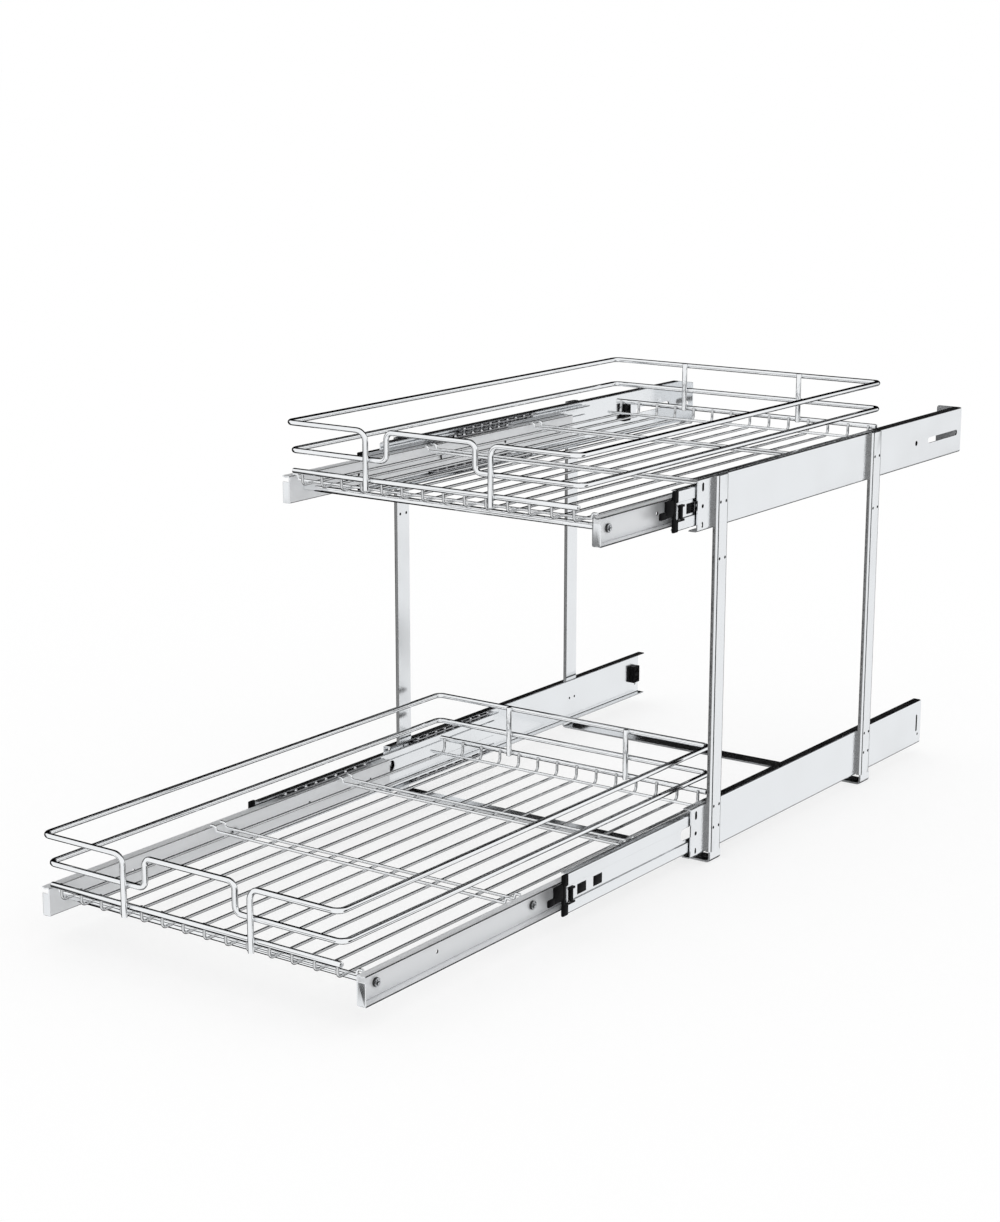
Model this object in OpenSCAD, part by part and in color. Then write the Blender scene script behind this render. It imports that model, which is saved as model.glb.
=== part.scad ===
// Two-tier pull out cabinet basket: two wire baskets on full-extension ball-bearing slides, carried by
// two strap hoops. Millimetres, +Z up, baskets pull out towards -Y. The origin lies on the cabinet floor,
// in the middle of the four floor screws. Right is +X.

/* [Frame] */
// Distance between the outer faces of the left and right slide housings
frame_w = 347.2; // [320:0.4:420]
// Height of the upper slides above the lower slides
tier_pitch = 296; // [240:1:340]
// Gap between the cabinet floor and the lower slide housings
ground_gap = 9.8; // [6:0.2:16]
// Distance between the front and rear hoops
hoop_spacing = 290; // [240:1:300]
// Distance from the front end of the housings to the middle of the front hoop
hoop_setback = 35; // [30:1:60]
// Width of the hoop strip
hoop_w = 18.4; // [18:0.2:22]
// Depth of the posts' closed section
post_depth = 5; // [4:0.2:7]
// Thickness of the posts' inner wall, which lies on the housings
post_wall_t = 1.2; // [1:0.1:1.4]
// Thickness of the hoop strip
strip_t = 1.8; // [1.5:0.1:2.2]
// Outer bend radius at the foot of a post
foot_bend_r = 4; // [3:0.5:5]
// Outer bend radius of the posts' closed section
post_bend_r = 2.6; // [2.4:0.1:3]
// Hole radius of the four floor screws
floor_hole_r = 2.5; // [1.5:0.1:3.5]
// Distance between the floor screws across the frame
floor_hole_spacing = 280; // [200:1:300]

/* [Rivets] */
// Radius of the rivet shanks
rivet_r = 1.35; // [1:0.05:1.8]
// Radius of the rivet collars inside the posts
collar_r = 2.3; // [2:0.1:2.6]
// Distance between the two rivets of a pair
rivet_pair = 9.2; // [7:0.2:9.4]
// Height of the middle rivet row above the bottom of a housing
rivet_row_mid = 22.7; // [20:0.1:26]
// Height of the top rivet row above the bottom of a housing
rivet_row_top = 42.5; // [38:0.1:43]
// Depth of the unused hole row below the upper housings
spare_row_drop = 27.5; // [10:0.5:40]
// How far a rivet ends below the post's face
rivet_recess = 0.8; // [0.4:0.1:1.2]

/* [Slides] */
// Length of the lower housings
lower_housing_len = 457; // [430:1:490]
// Length of the upper housings
upper_housing_len = 521.2; // [521:0.2:560]
// Height of a housing
housing_h = 46; // [45:0.2:48]
// Depth of a housing's flanges
housing_flange = 9.6; // [9:0.1:10.2]
// Thickness of a slide from the housing's face to the drawer rail's face
slide_t = 12.7; // [12.5:0.1:14]
// Thickness of the slide steel
sheet = 1.2; // [1:0.05:1.3]
// Height of a middle member
middle_h = 35.4; // [34.8:0.1:36]
// Length of a middle member
middle_len = 370; // [350:1:370]
// Gap between the webs of housing and middle member
web_gap = 0.9; // [0.8:0.05:1.1]
// Depth of a middle member's flanges
middle_flange = 8.3; // [8:0.1:8.6]
// Half height of the recess in a middle member's web
recess_half = 6.8; // [6.4:0.1:7.2]
// Height of a drawer rail
rail_h = 25; // [24.6:0.1:25.4]
// Length of a drawer rail
rail_len = 450; // [430:1:455]
// Depth of a drawer rail's channel
rail_depth = 8.4; // [8:0.1:8.5]
// Height of the bent plate at the front of a drawer rail
rail_plate_h = 19.5; // [14:0.5:22]
// Running clearance of balls and cages
run_clear = 0.06; // [0.03:0.01:0.09]
// Depth of the ball grooves
groove_depth = 0.3; // [0.2:0.02:0.4]
// Length of a ball cage
cage_len = 130; // [100:1:140]
// Thickness of the cage strip
cage_t = 0.5; // [0.4:0.05:0.55]
// Balls in each row of a cage
balls_per_row = 9; // [5:1:10]

// Place of the outer ball cages' middles when shut, behind the housing's front
outer_cage_place = 218; // [210:1:222]
// Place of the inner ball cages' middles when shut, behind the housing's front
inner_cage_place = 243; // [240:1:246]
// Distance from a housing's front end to its front holes
front_hole_place = 8.3; // [7:0.1:12]
// Height of the upper front slot above the middle of a housing
front_slot_rise = 15.7; // [14:0.1:16]
// Radius of the upper front slot
front_slot_r = 1.7; // [1.2:0.1:2]
// Length of the upper front slot
front_slot_len = 7.6; // [5:0.2:8]
// Depth of the middle front hole below the middle of a housing
front_hole_drop = 1; // [-2:0.5:3]
// Radius of the middle front hole
front_hole_r = 1.8; // [1.2:0.1:2.4]
// Depth of the lower front slot below the middle of a housing
low_slot_drop = 17.4; // [15:0.1:18]
// Radius of the lower front slot
low_slot_r = 1.3; // [1:0.1:1.6]
// Length of the lower front slot
low_slot_len = 5.2; // [4:0.2:6]
// Place of the first window behind a middle member's front
window_place = 15; // [13:0.5:18]
// Distance between the two windows of a middle member
window_pitch = 24.2; // [20:0.2:30]
// Length of a window
window_len = 13.5; // [10:0.5:15]
// Height of a window
window_h = 9; // [7:0.2:10]
// Depth of the windows' middle below the slide's middle
window_drop = 0.6; // [0:0.1:1]
// Place of the stop slot behind a middle member's front
stop_slot_place = 184.8; // [180:0.2:200]
// Radius of the stop slot
stop_slot_r = 5.5; // [4:0.5:5.5]
// Length of the stop slot's straight part
stop_slot_len = 20; // [12:1:30]
// Height of the stop slot above the slide's middle
stop_slot_rise = 1; // [0:0.1:1.2]
// Places of the spare holes behind a drawer rail's front
spare_hole_place_1 = 97.6; // [80:0.2:120]
// Place of the second spare hole
spare_hole_place_2 = 330; // [320:1:340]
// Place of the third spare hole
spare_hole_place_3 = 420; // [360:1:425]
// Radius of the spare holes
spare_hole_r = 1.6; // [1:0.1:2.4]

/* [Bumpers] */
// Length of the lugs that cap a middle member's flanges
lug_len = 8.5; // [6:0.5:12]
// Depth of the lugs from the housing's web inwards
lug_reach = 4.6; // [4.4:0.1:9]
// Length of the stop block ahead of the lugs
block_len = 12; // [6:0.5:14]
// Height of the stop block
block_h = 13.5; // [12:0.5:20]
// Height of the stop block's middle above the slide's middle
block_rise = 4.5; // [2:0.5:6]
// Length of the knob ahead of the stop block
knob_len = 9.5; // [6:0.5:12]
// Radius of the knob
knob_r = 3.2; // [2:0.1:3.5]
// Height of the knob's middle above the slide's middle
knob_rise = -1; // [-1:0.5:5]
// Length of the tail in the recess of the middle member
tail_len = 10; // [6:0.5:12]

/* [Rear ends] */
// Distance from a lower buffer's front to the slot that holds it
buffer_slot_back = 7.5; // [5:0.5:8.5]
// Radius of a lower buffer's slot
buffer_slot_r = 1.5; // [1:0.1:2]
// Length of a lower buffer's slot
buffer_slot_len = 17.6; // [12:0.2:17.6]
// Distance from that slot to the small hole behind it
clip_hole_back = 3; // [2.9:0.1:4]
// Depth of the small hole below the slide's middle
clip_hole_drop = 12.3; // [11:0.1:16]
// Radius of the small hole
clip_hole_r = 1.3; // [1:0.1:1.3]
// Distance from an upper buffer's front to its peg
peg_back = 5; // [4:0.5:7]
// Depth of the peg below the slide's middle
peg_drop = 1; // [0:0.5:3]
// Radius of the peg's hole
peg_hole_r = 2.6; // [2:0.1:3]
// Distance from an upper housing's rear end to its long slot
rear_slot_gap = 8.7; // [6:0.1:12]
// Length of the long slot
rear_slot_len = 67; // [50:1:70]
// Radius of the long slot's ends
rear_slot_r = 2.9; // [2:0.1:4]
// Depth of the long slot below the slide's middle
rear_slot_drop = 1.6; // [0:0.1:4]
// Reach of the rear tab from the housing's face
tab_reach = 27; // [24:0.5:27]
// Distance from the housing's face to the tab's screw hole
tab_hole_in = 19; // [16:0.5:20]
// Radius of the tab's screw hole
tab_hole_r = 2.2; // [1.8:0.1:2.6]

/* [Pull-out position] */
// Travel of a basket from shut to fully out
full_travel = 453.4; // [420:0.2:456]
// How far the upper basket is out as built (the lower one is fully out)
upper_out = 142.2; // [100:0.1:300]
// Gap between the shut rail's front plate and the housing
shut_gap = 1.5; // [1:0.1:3]
// Place of the lower middle members' front ends when shut, behind the housing's front
lower_middle_setback = 35.5; // [33:0.5:42]
// Place of the upper middle members' front ends when shut, behind the housing's front
upper_middle_setback = 42.8; // [33:0.2:45]
// Place of the lower rear buffers behind the housing's front
lower_buffer_place = 440; // [420:0.5:440]
// Place of the upper rear buffers behind the housing's front
upper_buffer_place = 414.5; // [414:0.5:430]
// Length of a rear buffer
buffer_len = 12; // [10:0.5:14]
// Height of a rear buffer
buffer_h = 18.4; // [14:0.2:21]
// Depth of a rear buffer
buffer_depth = 5.5; // [4:0.1:6.4]

/* [Basket] */
// Distance between the left and right rim wires, centre to centre
rim_w = 307.4; // [270:0.4:308]
// Distance between the front and rear rim wires, centre to centre
rim_d = 525; // [470:1:540]
// Diameter of the rim, end bar and upright wires
rim_wire = 5; // [4:0.2:5.6]
// Diameter of the floor and cross wires
floor_wire = 2.6; // [2:0.1:3]
// How far crossing wires sink into each other at a weld
weld_sink = 0.3; // [0.2:0.05:0.4]
// Height of the floor wires above the middle of the slides
floor_rise = 6.9; // [5:0.1:8]
// Height of the end bars above the floor wires
bar_rise = 12.5; // [10:0.5:16]
// Height of the middle rim above the floor wires
mid_rim_rise = 30.7; // [26:0.1:36]
// Height of the top rim above the floor wires
top_rim_rise = 56; // [48:0.5:80]
// Length of an end bar
bar_len = 303; // [296:1:306]
// Number of floor wires
floor_wires_n = 14; // [10:1:16]
// Distance between floor wires
floor_pitch = 22.2; // [16:0.2:22.6]
// Bend radius of the floor wires' front ends
floor_bend_front = 4; // [3:0.5:6]
// Bend radius of the floor wires' rear ends
floor_bend_rear = 6; // [3:0.5:8]
// Bend radius of the rims' corners
corner_bend = 7; // [5:0.5:12]
// Half distance between the two front stubs
stub_half = 66.3; // [56:0.1:80]
// Bend radius of the front stubs
stub_bend = 9; // [6:0.5:12]
// Height of the stubs' lower ends above the floor wires
stub_end_rise = 4; // [1:0.5:8]
// Half distance between the sides of the raised grip
grip_half = 47; // [36:0.5:50]
// Bend radius of the raised grip
grip_bend = 6.5; // [5:0.5:9]
// Distance from the basket's front to the rails' front plates
rail_setback = 5.4; // [4:0.1:8]
// Distance from the front cross wire to the basket's front
cross_front = 12; // [10:0.5:18]
// Distances of the cross wire pairs from the basket's front
cross_pair_1 = 208.5; // [160:0.5:230]
// Distance of the second pair from the basket's front
cross_pair_2 = 385; // [330:1:420]
// Distance between the wires of a pair
cross_pair_gap = 13; // [10:0.5:24]
// Distance from the rear cross wire to the basket's rear
cross_rear = 14; // [12:0.5:20]
// Diameter of the tie rod
tie_rod_d = 6; // [5:0.2:8]
// Distance from the rail's front to the tie rod
tie_rod_place = 21; // [18:0.5:26]
// Distance from the rail's front to the rear rail screw
rear_screw_place = 226; // [216:1:300]

/* [Screws] */
// Radius of the rail screws' shanks
screw_r = 2; // [1.6:0.1:2.2]
// Radius of the rail screws' heads
screw_head_r = 3.8; // [2.8:0.1:3.8]
// Height of the rail screws' heads
screw_head_h = 2.2; // [1.5:0.1:2.6]
// Length of a rail screw's shank
screw_len = 9; // [6:0.5:12]

/* [Hidden] */
$fn = 48;

lower = 0;
upper = 1;
left = -1;
right = 1;
chrome = [0.86, 0.87, 0.89];
steel = [0.78, 0.79, 0.81];
brass_steel = [0.66, 0.67, 0.69];
black = [0.06, 0.06, 0.07];
rim_r = rim_wire / 2;
thin_r = floor_wire / 2;
web_x = frame_w / 2;
front_y = -hoop_spacing / 2 - hoop_setback;
fit = 0.05;

// Heights of the middle of the slides on each tier
slide_z = [ground_gap + housing_h / 2, ground_gap + housing_h / 2 + tier_pitch];
housing_len = [lower_housing_len, upper_housing_len];
post_top = ground_gap + tier_pitch + housing_h;

// How far each basket is out as built, and where its parts then lie
out = [full_travel, upper_out];
middle_setback = [lower_middle_setback, upper_middle_setback];
buffer_place = [lower_buffer_place, upper_buffer_place];
rail_front = [for (tier = [lower, upper]) front_y - shut_gap - sheet - out[tier]];
basket_front = [for (tier = [lower, upper]) rail_front[tier] - rail_setback];
middle_front = [for (tier = [lower, upper]) front_y + middle_setback[tier] - out[tier] / 2];

// Slide section: distances inward from the housing's face, and heights from the slide's middle
middle_in = sheet + web_gap;
recess_in = middle_in + sheet;
middle_flange_end = middle_in + middle_flange;
rail_in = slide_t - rail_depth;
rail_web_in = slide_t - sheet;
housing_inner_half = housing_h / 2 - sheet;
middle_half = middle_h / 2;
middle_inner_half = middle_half - sheet;
rail_half = rail_h / 2;
outer_ball_h = (housing_inner_half + middle_half) / 2;
inner_ball_h = (middle_inner_half + rail_half) / 2;
outer_race_r = (housing_inner_half - middle_half) / 2 + groove_depth;
inner_race_r = (middle_inner_half - rail_half) / 2 + groove_depth;
outer_ball_r = outer_race_r - run_clear;
inner_ball_r = inner_race_r - run_clear;
outer_ball_in = (middle_in + housing_flange) / 2;
inner_ball_in = (rail_in + middle_flange_end) / 2 + 0.4;
pocket_clear = run_clear;
cage_strip_t = 1;
cage_side = 1.2;
outer_cage_in = sheet + (web_gap - cage_t) / 2;
inner_cage_in = middle_in + sheet + (rail_in - middle_in - sheet - cage_t) / 2;
recess_slope = 1.2;

// Ball cages lie in the middle of the overlap that they bridge
outer_cage_home = front_y + outer_cage_place;
inner_cage_home = front_y + inner_cage_place;
outer_cage_mid = [for (tier = [lower, upper]) outer_cage_home - out[tier] / 4];
inner_cage_mid = [for (tier = [lower, upper]) inner_cage_home - out[tier] * 3 / 4];

// Wire heights above the slide's middle
cross_rise = floor_rise + floor_wire - weld_sink;
bar_h = floor_rise + bar_rise;
mid_rim_h = floor_rise + mid_rim_rise;
top_rim_h = floor_rise + top_rim_rise;
cross_seat = sheet;
step_in = 4.5;
stub_out = rim_wire - weld_sink;
end_step = rim_r + thin_r - weld_sink;
upright_in = rim_wire - weld_sink;

// Steel strip bent into a quarter ring, in the first quadrant
module quarter_ring(outer_r, inner_r) {
    intersection() {
        difference() {
            circle(r = outer_r);
            circle(r = inner_r);
        }
        square(outer_r);
    }
}

// Section in x and z, drawn out along Y from y_start
module along_y(y_start, length) {
    translate([0, y_start + length, 0])
        rotate([90, 0, 0])
            linear_extrude(length)
                children();
}

// Places a right-hand slide piece on its tier, mirrored for the left
module on_slide(tier, side) {
    mirror([side == left ? 1 : 0, 0, 0])
        translate([web_x, 0, slide_z[tier]])
            children();
}

// Hole of radius r through the webs of a right-hand slide piece
module web_hole(inward, y, z, r) {
    translate([-inward - 2 * sheet, y, z])
        rotate([0, 90, 0])
            cylinder(h = 4 * sheet, r = r);
}

// Upright slot through a web, length measured end to end
module web_slot(inward, y, z, r, length) {
    for (end = [-1, 1])
        web_hole(inward, y, z + end * (length / 2 - r), r);
    translate([-inward - 2 * sheet, y - r, z - length / 2 + r])
        cube([4 * sheet, 2 * r, length - 2 * r]);
}

// Straight wire between two points that share two coordinates
module straight(start, end, r) {
    $fn = 20;
    d = (end - start) / norm(end - start);
    e = [d.y, d.z, d.x];
    f = cross(d, e);
    multmatrix([[e.x, f.x, d.x, start.x], [e.y, f.y, d.y, start.y], [e.z, f.z, d.z, start.z], [0, 0, 0, 1]])
        cylinder(h = norm(end - start), r = r);
}

// Quarter bend of a wire that comes in along d and goes out along e
module elbow(corner, d, e, bend, r) {
    $fn = 20;
    f = cross(d, e);
    c = corner + (e - d) * bend;
    multmatrix([[-e.x, d.x, f.x, c.x], [-e.y, d.y, f.y, c.y], [-e.z, d.z, f.z, c.z], [0, 0, 0, 1]])
        rotate_extrude(angle = 90)
            translate([bend, 0])
                circle(r = r);
}

// Wire along points joined by square corners, with one bend radius for each point
module wire(points, bends, r, closed = false) {
    n = len(points);
    segments = closed ? n : n - 1;
    dirs = [for (i = [0:segments - 1]) (points[(i + 1) % n] - points[i]) / norm(points[(i + 1) % n] - points[i])];
    trims = [for (i = [0:n - 1]) closed || (i > 0 && i < n - 1) ? bends[i] : 0];
    for (i = [0:segments - 1]) {
        next = (i + 1) % n;
        if (norm(points[next] - points[i]) > trims[i] + trims[next] + 0.01)
            straight(points[i] + dirs[i] * trims[i], points[next] - dirs[i] * trims[next], r);
        if (closed || i < segments - 1)
            elbow(points[next], dirs[i], dirs[(i + 1) % segments], bends[next], r);
    }
}

// Outer member of a slide: web outside, flanges turned in over the ball rows
module housing(tier, side) {
    hole_y = front_y + front_hole_place;
    color(steel)
        on_slide(tier, side)
            difference() {
                union() {
                    along_y(front_y, housing_len[tier])
                        difference() {
                            union() {
                                translate([-sheet, -housing_h / 2])
                                    square([sheet, housing_h]);
                                for (end = [-1, 1])
                                    translate([-housing_flange, end * (housing_h - sheet) / 2 - sheet / 2])
                                        square([housing_flange, sheet]);
                            }
                            for (end = [-1, 1])
                                translate([-outer_ball_in, end * outer_ball_h])
                                    circle(r = outer_race_r);
                        }
                    if (tier == upper)
                        rear_tab();
                }
                web_slot(0, hole_y, front_slot_rise, front_slot_r, front_slot_len);
                web_hole(0, hole_y, -front_hole_drop, front_hole_r);
                web_slot(0, hole_y, -low_slot_drop, low_slot_r, low_slot_len);
                for (hoop_y = [-hoop_spacing / 2, hoop_spacing / 2], pair = [-1, 1])
                    for (row = rivet_rows[tier])
                        web_hole(0, hoop_y + pair * rivet_pair / 2, row - housing_h / 2, rivet_r + fit);
                if (tier == lower)
                    lower_rear_holes();
                else
                    upper_rear_holes();
            }
}

// Screw tab bent in across the rear end of an upper housing
module rear_tab() {
    difference() {
        translate([-tab_reach, front_y + upper_housing_len - sheet, -housing_h / 2])
            cube([tab_reach, sheet, housing_h]);
        translate([-tab_hole_in, front_y + upper_housing_len + sheet, 0])
            rotate([90, 0, 0])
                cylinder(h = 4 * sheet, r = tab_hole_r);
    }
}

// Holes behind the slides, with the slot of the lower buffers and the peg hole of the upper ones
buffer_slot_y = front_y + lower_buffer_place + buffer_slot_back;
module lower_rear_holes() {
    web_slot(0, buffer_slot_y, 0, buffer_slot_r, buffer_slot_len);
    web_hole(0, buffer_slot_y + clip_hole_back, -clip_hole_drop, clip_hole_r);
}

peg_y = front_y + upper_buffer_place + peg_back;
rear_slot_y = front_y + upper_housing_len - rear_slot_gap - rear_slot_len / 2;
module upper_rear_holes() {
    half = rear_slot_len / 2 - rear_slot_r;
    web_hole(0, peg_y, -peg_drop, peg_hole_r);
    for (end = [-half, half])
        web_hole(0, rear_slot_y + end, -rear_slot_drop, rear_slot_r);
    translate([-2 * sheet, rear_slot_y - half, -rear_slot_drop - rear_slot_r])
        cube([4 * sheet, 2 * half, 2 * rear_slot_r]);
}

// Rows of rivets above the bottom of each tier's housings
rivet_rows = [[rivet_row_mid, rivet_row_top], [rivet_row_mid]];

// Flat tube section of a post, from the housing's face outwards: a bent channel closed by an inner wall
module post_section() {
    half = hoop_w / 2;
    translate([0, -half])
        square([post_wall_t, hoop_w]);
    translate([post_depth - strip_t, -half + post_bend_r])
        square([strip_t, hoop_w - 2 * post_bend_r]);
    for (edge = [0, 1])
        mirror([0, edge]) {
            translate([0, half - strip_t])
                square([post_depth - post_bend_r, strip_t]);
            translate([post_depth - post_bend_r, half - post_bend_r])
                quarter_ring(post_bend_r, post_bend_r - strip_t);
        }
}

// Two posts of flat tube, closed to the housings, and the strap between their feet
module hoop(hoop_y) {
    outer_x = web_x + post_depth;
    hole_rows = concat([for (row = rivet_rows[lower]) ground_gap + row],
        [for (row = rivet_rows[upper]) ground_gap + tier_pitch + row],
        [ground_gap + tier_pitch - spare_row_drop]);
    color(steel)
        difference() {
            union() {
                along_y(hoop_y - hoop_w / 2, hoop_w)
                    for (side = [0, 1])
                        mirror([side, 0]) {
                            translate([outer_x - strip_t, foot_bend_r])
                                square([strip_t, ground_gap - foot_bend_r]);
                            translate([outer_x - foot_bend_r, foot_bend_r])
                                mirror([0, 1])
                                    quarter_ring(foot_bend_r, foot_bend_r - strip_t);
                            square([outer_x - foot_bend_r, strip_t]);
                        }
                for (side = [0, 1])
                    mirror([side, 0, 0])
                        translate([web_x, hoop_y, ground_gap])
                            linear_extrude(post_top - ground_gap)
                                post_section();
            }
            for (side = [0, 1], pair = [-1, 1], row = hole_rows)
                mirror([side, 0, 0])
                    translate([web_x - post_depth, hoop_y + pair * rivet_pair / 2, row])
                        rotate([0, 90, 0])
                            cylinder(h = 3 * post_depth, r = rivet_r + fit);
            for (side = [-1, 1])
                translate([side * floor_hole_spacing / 2, hoop_y, -strip_t])
                    cylinder(h = 4 * strip_t, r = floor_hole_r);
        }
}

// Shoulder rivets: the collar sits between the post's walls, the shank ends flush inside the housing
module post_rivets() {
    color(brass_steel)
        for (tier = [lower, upper], side = [0, 1], hoop_y = [-hoop_spacing / 2, hoop_spacing / 2], pair = [-1, 1])
            for (row = rivet_rows[tier])
                mirror([side, 0, 0])
                    translate([web_x, hoop_y + pair * rivet_pair / 2, slide_z[tier] - housing_h / 2 + row])
                        rotate([0, 90, 0]) {
                            translate([0, 0, -sheet])
                                cylinder(h = sheet + post_depth - rivet_recess, r = rivet_r);
                            translate([0, 0, post_wall_t])
                                cylinder(h = post_depth - strip_t - post_wall_t, r = collar_r);
                        }
}

// Plastic stops on the housing webs: clipped in by a blade below and by a round peg above
module rear_buffers() {
    color(black)
        for (tier = [lower, upper], side = [left, right])
            on_slide(tier, side) {
                translate([-sheet - buffer_depth, front_y + buffer_place[tier], -buffer_h / 2])
                    cube([buffer_depth, buffer_len, buffer_h]);
                if (tier == lower)
                    translate([-2 * sheet, buffer_slot_y - buffer_slot_r + fit, buffer_slot_r - buffer_slot_len / 2])
                        cube([1.5 * sheet, 2 * (buffer_slot_r - fit), buffer_slot_len - 2 * buffer_slot_r]);
                else
                    translate([-2 * sheet, peg_y, -peg_drop])
                        rotate([0, 90, 0])
                            cylinder(h = 1.5 * sheet, r = peg_hole_r - fit);
            }
}

// Middle member: lips beside the housing's web, a recess along the middle, flanges over the drawer rail
module middle_member(tier, side) {
    low = recess_half;
    high = recess_half + recess_slope;
    stop_y = middle_front[tier] + stop_slot_place;
    color(steel)
        on_slide(tier, side)
            difference() {
                along_y(middle_front[tier], middle_len)
                    difference() {
                        polygon([
                            [-middle_flange_end, middle_half], [-middle_in, middle_half],
                            [-middle_in, high], [-recess_in, low],
                            [-recess_in, -low], [-middle_in, -high],
                            [-middle_in, -middle_half], [-middle_flange_end, -middle_half],
                            [-middle_flange_end, -middle_inner_half], [-recess_in, -middle_inner_half],
                            [-recess_in, -high], [-recess_in - sheet, -low],
                            [-recess_in - sheet, low], [-recess_in, high],
                            [-recess_in, middle_inner_half], [-middle_flange_end, middle_inner_half]
                        ]);
                        for (end = [-1, 1]) {
                            translate([-outer_ball_in, end * outer_ball_h])
                                circle(r = outer_race_r);
                            translate([-inner_ball_in, end * inner_ball_h])
                                circle(r = inner_race_r);
                        }
                    }
                for (place = [window_place, window_place + window_pitch])
                    translate([-recess_in - 2 * sheet, middle_front[tier] + place, -window_drop - window_h / 2])
                        cube([4 * sheet, window_len, window_h]);
                web_hole(recess_in, stop_y, stop_slot_rise, stop_slot_r);
                translate([-recess_in - 2 * sheet, stop_y, stop_slot_rise - stop_slot_r])
                    cube([4 * sheet, stop_slot_len, 2 * stop_slot_r]);
            }
}

// Plastic end cap of a middle member: lugs over the flange ends, a stop block, a knob and a tail
module bumper(tier, side) {
    face_in = sheet + 0.3;
    back_in = rail_in - 0.2;
    lug_low = rail_half + 0.6;
    lug_high = middle_half + 0.5;
    front = middle_front[tier];
    block_front = front - lug_len - block_len;
    knob_y = block_front - knob_len + knob_r;
    color(black)
        on_slide(tier, side) {
            translate([-back_in, front - lug_len, -lug_high])
                cube([back_in - face_in, lug_len, 2 * lug_high]);
            for (end = [0, 1])
                mirror([0, 0, end])
                    translate([-lug_reach, front - lug_len, lug_low])
                        cube([lug_reach - face_in, lug_len, lug_high - lug_low]);
            translate([-back_in, block_front, block_rise - block_h / 2])
                cube([back_in - face_in, block_len, block_h]);
            translate([-back_in, knob_y, knob_rise - knob_r])
                cube([back_in - face_in, knob_len - knob_r, 2 * knob_r]);
            translate([-back_in, knob_y, knob_rise])
                rotate([0, 90, 0])
                    cylinder(h = back_in - face_in, r = knob_r);
            translate([-recess_in, front, -recess_half])
                cube([recess_in - middle_in, tail_len, 2 * recess_half]);
        }
}

// Places of the balls of one row along Y, from the cage's middle
ball_step = cage_len / balls_per_row;
function ball_places(middle) = [for (i = [0:balls_per_row - 1]) middle - cage_len / 2 + (i + 0.5) * ball_step];

// Cage between housing and middle member
module outer_cage(tier, side) {
    tip = outer_ball_h + cage_strip_t / 2;
    reach = outer_ball_in + outer_ball_r + cage_side;
    color(brass_steel)
        on_slide(tier, side)
            difference() {
                along_y(outer_cage_mid[tier] - cage_len / 2, cage_len)
                    difference() {
                        translate([-reach, -tip])
                            square([reach - outer_cage_in, 2 * tip]);
                        translate([-reach - 1, -tip + cage_strip_t])
                            square([reach - outer_cage_in - cage_t + 1, 2 * (tip - cage_strip_t)]);
                    }
                for (y = ball_places(outer_cage_mid[tier]), end = [-1, 1])
                    translate([-outer_ball_in, y, end * outer_ball_h - cage_strip_t])
                        cylinder(h = 2 * cage_strip_t, r = outer_ball_r + pocket_clear);
            }
}

module outer_balls(tier, side) {
    color(chrome)
        on_slide(tier, side)
            for (y = ball_places(outer_cage_mid[tier]), end = [-1, 1])
                translate([-outer_ball_in, y, end * outer_ball_h])
                    sphere(r = outer_ball_r);
}

// Cage between middle member and drawer rail, stepped round the middle member's recess
module inner_cage(tier, side) {
    tip = inner_ball_h + cage_strip_t / 2;
    reach = inner_ball_in + inner_ball_r + cage_side;
    offset_in = inner_cage_in + sheet;
    low = recess_half + recess_slope;
    high = low + recess_slope;
    color(brass_steel)
        on_slide(tier, side)
            difference() {
                along_y(inner_cage_mid[tier] - cage_len / 2, cage_len)
                    polygon([
                        [-reach, tip], [-inner_cage_in, tip],
                        [-inner_cage_in, high], [-offset_in, low],
                        [-offset_in, -low], [-inner_cage_in, -high],
                        [-inner_cage_in, -tip], [-reach, -tip],
                        [-reach, -tip + cage_strip_t], [-inner_cage_in - cage_t, -tip + cage_strip_t],
                        [-inner_cage_in - cage_t, -high], [-offset_in - cage_t, -low],
                        [-offset_in - cage_t, low], [-inner_cage_in - cage_t, high],
                        [-inner_cage_in - cage_t, tip - cage_strip_t], [-reach, tip - cage_strip_t]
                    ]);
                for (y = ball_places(inner_cage_mid[tier]), end = [-1, 1])
                    translate([-inner_ball_in, y, end * inner_ball_h - cage_strip_t])
                        cylinder(h = 2 * cage_strip_t, r = inner_ball_r + pocket_clear);
            }
}

module inner_balls(tier, side) {
    color(chrome)
        on_slide(tier, side)
            for (y = ball_places(inner_cage_mid[tier]), end = [-1, 1])
                translate([-inner_ball_in, y, end * inner_ball_h])
                    sphere(r = inner_ball_r);
}

// Drawer rail: channel open to the housing, with a plate bent across its front end
module drawer_rail(tier, side) {
    color(steel)
        on_slide(tier, side)
            difference() {
                union() {
                    along_y(rail_front[tier], rail_len)
                        difference() {
                            union() {
                                translate([-slide_t, -rail_half])
                                    square([sheet, rail_h]);
                                for (end = [-1, 1])
                                    translate([-slide_t, end * (rail_h - sheet) / 2 - sheet / 2])
                                        square([rail_depth, sheet]);
                            }
                            for (end = [-1, 1])
                                translate([-inner_ball_in, end * inner_ball_h])
                                    circle(r = inner_race_r);
                        }
                    translate([-slide_t, rail_front[tier], -rail_half])
                        cube([rail_depth, sheet, rail_plate_h]);
                }
                for (place = [tie_rod_place, rear_screw_place])
                    web_hole(rail_web_in, rail_front[tier] + place, 0, screw_r + fit);
                for (place = [spare_hole_place_1, spare_hole_place_2, spare_hole_place_3])
                    web_hole(rail_web_in, rail_front[tier] + place, 0, spare_hole_r);
            }
}

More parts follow.
